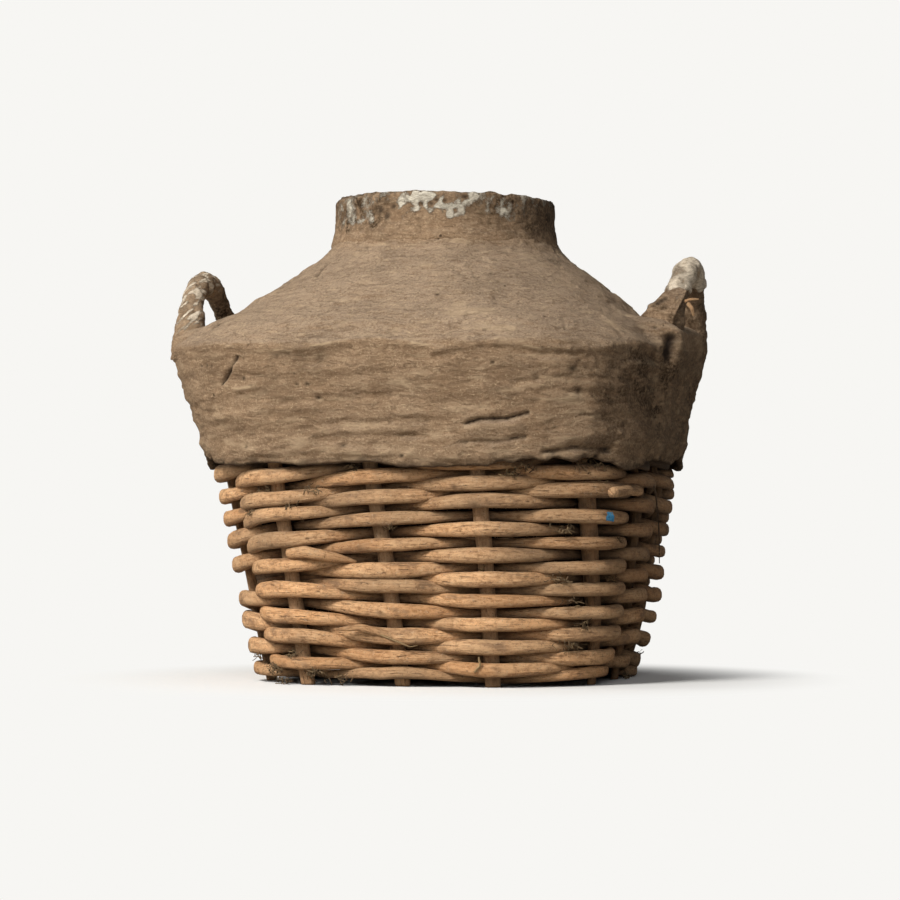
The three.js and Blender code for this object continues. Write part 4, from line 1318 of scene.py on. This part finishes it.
# Loose rods lie over the weave and pass under it at one end
spots = on_wall([(288, 553), (305, 552), (320, 555), (338, 558), (356, 562)], [9, 12, 12.5, 9, 3])
twig("loose_rod_01", spots, 11, peeled_willow, tip=0.3)
spots = [(405, 639), (392, 636), (375, 631), (358, 627), (346, 629), (334, 629)]
twig("loose_rod_02", on_wall(spots, [9, 12, 14.5, 15.5, 15, 14]), 7.5, peeled_willow, tip=0.25)
spots = on_wall([(640, 491), (630, 490), (617, 492), (613, 492.5)], [8, 13, 17, 19])
twig("cut_stub_01", spots, 9.5, peeled_willow, tip=0.95)
spots = on_wall([(655, 487), (657, 500), (659, 520), (660, 540), (660, 563)], 16.5)
twig("hanging_string", spots, 1.7, old_string)
# Ends of the bent rod's binding, bare where the right handle's paper is torn
spots = [pixel_point(*spot) for spot in [(685, 301, -60), (692, 299, -60), (699, 299, -58)]]
twig("bare_splint_01", spots, 2.8, peeled_willow, 1.2)
spots = [pixel_point(*spot) for spot in [(688, 303, -60), (692, 308, -61), (694, 316, -61)]]
twig("bare_splint_02", spots, 3.8, peeled_willow, 1.15)

FIBRE_RINGS = 6
FIBRE_SIDES = 5
FIBRE_POINTS = FIBRE_RINGS * FIBRE_SIDES


def tuft(name, px, py, size, count, reach, material, seed):
    """Chaff and roots caught between the rods round a pixel: short thin fibres in all directions."""
    chance = np.random.default_rng(seed)
    centre = seen_at(px, py, wall_surface(reach))
    up = np.array([0, 0, 1])
    out = unit(centre * [1, 1, 0])
    along = np.array([-out[1], out[0], 0])
    part = np.linspace(-0.5, 0.5, FIBRE_RINGS)[:, None]
    points, faces = [], []
    for _ in range(count):
        spot = centre + along * chance.normal(0, size) + up * chance.normal(0, size * 0.45)
        spot = spot + out * chance.uniform(-5, 2)
        way = along * chance.normal(0, 1) + out * chance.normal(0, 0.7) + up * chance.normal(0, 0.8)
        way = unit(way)
        length = chance.uniform(2.5, 8)
        thickness = chance.uniform(0.4, 1.1)
        bend = unit(chance.normal(0, 1, 3))
        middle = spot + way * part * length + bend * part ** 2 * length
        side = unit(np.cross(way, chance.normal(0, 1, 3)))
        rings = sweep(middle, np.broadcast_to(side, middle.shape), thickness, thickness, FIBRE_SIDES, 2)
        first = len(points) * FIBRE_POINTS
        for face in grid_faces(FIBRE_RINGS, FIBRE_SIDES, ends=True):
            faces.append([corner + first for corner in face])
        points.append(rings.reshape(-1, 3))
    points = np.concatenate(points)
    points[:, 2] = np.maximum(points[:, 2], 0.3)
    marks = {
        "rod_place": points * MM,
        "rod_tone": np.repeat(chance.uniform(0.5, 1.1, count), FIBRE_POINTS),
        "knot": np.zeros(len(points)),
        "grime_and_shade": np.full(len(points), 0.15),
    }
    make_piece(name, points, material, (), marks, faces=faces)


TUFTS = [
    (387, 527, 3, 16, 12), (312, 488, 5, 20, 11), (286, 506, 5, 22, 10), (300, 515, 4, 14, 9),
    (566, 529, 5, 24, 11), (512, 474, 4, 18, 12), (530, 467, 5, 18, 13), (592, 466, 8, 34, 13),
    (560, 579, 5, 20, 11), (575, 601, 4, 14, 11), (402, 580, 4, 10, 10), (310, 672, 5, 30, 12),
    (292, 655, 4, 18, 10), (272, 668, 6, 44, 12), (280, 680, 5, 26, 12), (258, 655, 4, 20, 10),
    (572, 646, 7, 34, 10), (618, 540, 4, 16, 11), (584, 625, 5, 22, 10), (614, 578, 5, 18, 10),
    (354, 467, 4, 12, 13), (262, 490, 4, 14, 11), (250, 512, 4, 16, 10), (478, 568, 4, 10, 9),
    (610, 566, 4, 16, 11), (600, 480, 5, 16, 11), (628, 676, 5, 26, 12), (340, 680, 8, 22, 8),
    (640, 655, 4, 16, 10),
]
chaff = willow("dry_chaff", "#6e5a40", "#a18a63", "#35291b", 0.9)
for index, (px, py, size, count, reach) in enumerate(TUFTS):
    tuft(f"caught_chaff_{index + 1:02d}", px, py, size, count, reach, chaff, 500 + index)


def paint_fleck():
    """A fleck of blue paint on a rod."""
    spot = seen_at(611, 507, wall_surface(14.5))
    out = unit(spot * [1, 1, 0])
    along = np.array([-out[1], out[0], 0])
    # The rod whose level there is nearest, of those that pass outside
    near = [line[apart(line, spot, [1, 1, 0]).argmin()] for line in rod_lines]
    near = [place for place in near if (place - spot) @ out > -18]
    middle = min(near, key=lambda place: abs(place[2] - spot[2]))
    middle = middle + along * ((spot - middle) @ along)
    turn, part = np.meshgrid(np.linspace(-0.55, 0.75, 12), np.linspace(-1, 1, 14))
    ragged = 1 + 0.25 * lumps(turn * 5, part * 5, 0, 1.6, 151)
    turn = (turn * ragged)[..., None]
    part = (part * ragged)[..., None]
    points = middle + along * part * 5 + out * np.cos(turn) * 5.6 + np.array([0, 0, 1]) * np.sin(turn) * 6.9
    material, tree, shader = new_material("blue_paint_fleck", 0.7, 0.3)
    # Worn through in spots 3 mm wide
    place = add(tree, "ShaderNodeNewGeometry").outputs["Position"]
    wear = add(tree, "ShaderNodeTexNoise", {"Vector": place, "Scale": 330, "Detail": 4, "Roughness": 0.7})
    colours = [(0.35, "#27587a"), (0.55, "#3a7ba3"), (0.66, "#5d7077")]
    paint = add(tree, "ShaderNodeValToRGB", {"Fac": wear}, colours)
    tree.links.new(paint.outputs[0], shader.inputs["Base Color"])
    make_piece("blue_paint_fleck", points, material, around=False)


paint_fleck()

# What is left of the part's own pieces

for name in list(nodes):
    if nodes[name].hide_render:
        continue
    nodes[name].data.materials.clear()
    nodes[name].data.materials.append(peeled_willow if name.startswith("weaver") else bent_wood)

# Stage, light and camera

PALE = "#f7f6f3"


def floor_material():
    """A pale matt floor that keeps the jar's shadow and turns to the background's colour further out."""
    material, tree, shader = new_material("pale_studio_floor", 0.9, 0.0)
    to_camera = add(tree, "ShaderNodeLightPath").outputs["Is Camera Ray"]
    # The camera sees a white floor; the jar is lit from below as by a wooden table
    colour = layered(tree, "#a8a299", (("#e6e8ea", to_camera),))
    tree.links.new(colour, shader.inputs["Base Color"])
    place = add(tree, "ShaderNodeNewGeometry").outputs["Position"]
    away = add(tree, "ShaderNodeVectorMath", {0: place}, operation="LENGTH").outputs["Value"]
    # The shadow's reach from the jar's middle in metres
    reach = {"Value": away, "From Min": 0.19, "From Max": 0.37}
    fade = add(tree, "ShaderNodeMapRange", reach, interpolation_type="SMOOTHSTEP")
    seen = add(tree, "ShaderNodeMath", {0: fade, 1: to_camera}, operation="MULTIPLY")
    glow = add(tree, "ShaderNodeEmission", {"Color": linear(PALE), "Strength": 1.0})
    mix = add(tree, "ShaderNodeMixShader", {0: seen, 1: shader, 2: glow})
    tree.links.new(mix.outputs[0], tree.nodes["Material Output"].inputs["Surface"])
    return material


mesh = bpy.data.meshes.new("studio_floor")
mesh.from_pydata([(-9, -9, 0), (9, -9, 0), (9, 9, 0), (-9, 9, 0)], [], [(0, 1, 2, 3)])
mesh.materials.append(floor_material())
floor = bpy.data.objects.new("studio_floor", mesh)
bpy.context.scene.collection.objects.link(floor)

world = bpy.data.worlds.new("pale_room")
bpy.context.scene.world = world
world.use_nodes = True
tree = world.node_tree
tree.nodes.clear()
to_camera = add(tree, "ShaderNodeLightPath").outputs["Is Camera Ray"]
ambient = add(tree, "ShaderNodeBackground", {"Color": linear("#f4f1ec"), "Strength": 0.16})
backdrop = add(tree, "ShaderNodeBackground", {"Color": linear(PALE), "Strength": 1.0})
seen = add(tree, "ShaderNodeMixShader", {0: to_camera, 1: ambient, 2: backdrop})
add(tree, "ShaderNodeOutputWorld", {"Surface": seen})


def aimed(spot, target):
    """A placement at a spot that looks at a target with its top up."""
    back = (Vector(spot) - Vector(target)).normalized()
    right = Vector((0, 0, 1)).cross(back).normalized()
    turn = Matrix((right, back.cross(right), back)).transposed().to_4x4()
    return Matrix.Translation(spot) @ turn


LIT_SPOT = (0, 0, 0.2)


def area_light(name, spot, size, power, colour="#ffffff"):
    lamp = bpy.data.lights.new(name, "AREA")
    lamp.shape = "DISK"
    lamp.size = size
    lamp.energy = power
    lamp.color = linear(colour)[:3]
    holder = bpy.data.objects.new(name, lamp)
    holder.matrix_world = aimed(spot, LIT_SPOT)
    bpy.context.scene.collection.objects.link(holder)


area_light("key_softbox", (-0.95, -2.65, 2.4), 1.1, 150, "#fffaf2")
area_light("front_softbox", (0.9, -3.0, 1.1), 1.4, 23)
area_light("left_softbox", (-2.7, -0.7, 1.0), 0.9, 30, "#fffaf2")

# The photograph's view, low and looking up by one degree, at a point just right of the axis
AIM_RIGHT = 0.00135
AIM_LEVEL = 0.2051
camera = bpy.data.cameras.new("camera")
camera.lens = 128.9
camera.sensor_width = 36
camera.clip_end = 60
eye = bpy.data.objects.new("camera", camera)
spot = (VIEW_AWAY * VIEW_SIN, -VIEW_AWAY * VIEW_COS, VIEW_LEVEL * MM)
eye.matrix_world = aimed(spot, (AIM_RIGHT * VIEW_COS, AIM_RIGHT * VIEW_SIN, AIM_LEVEL))
bpy.context.scene.collection.objects.link(eye)
bpy.context.scene.camera = eye
bpy.context.scene.view_settings.view_transform = "Standard"
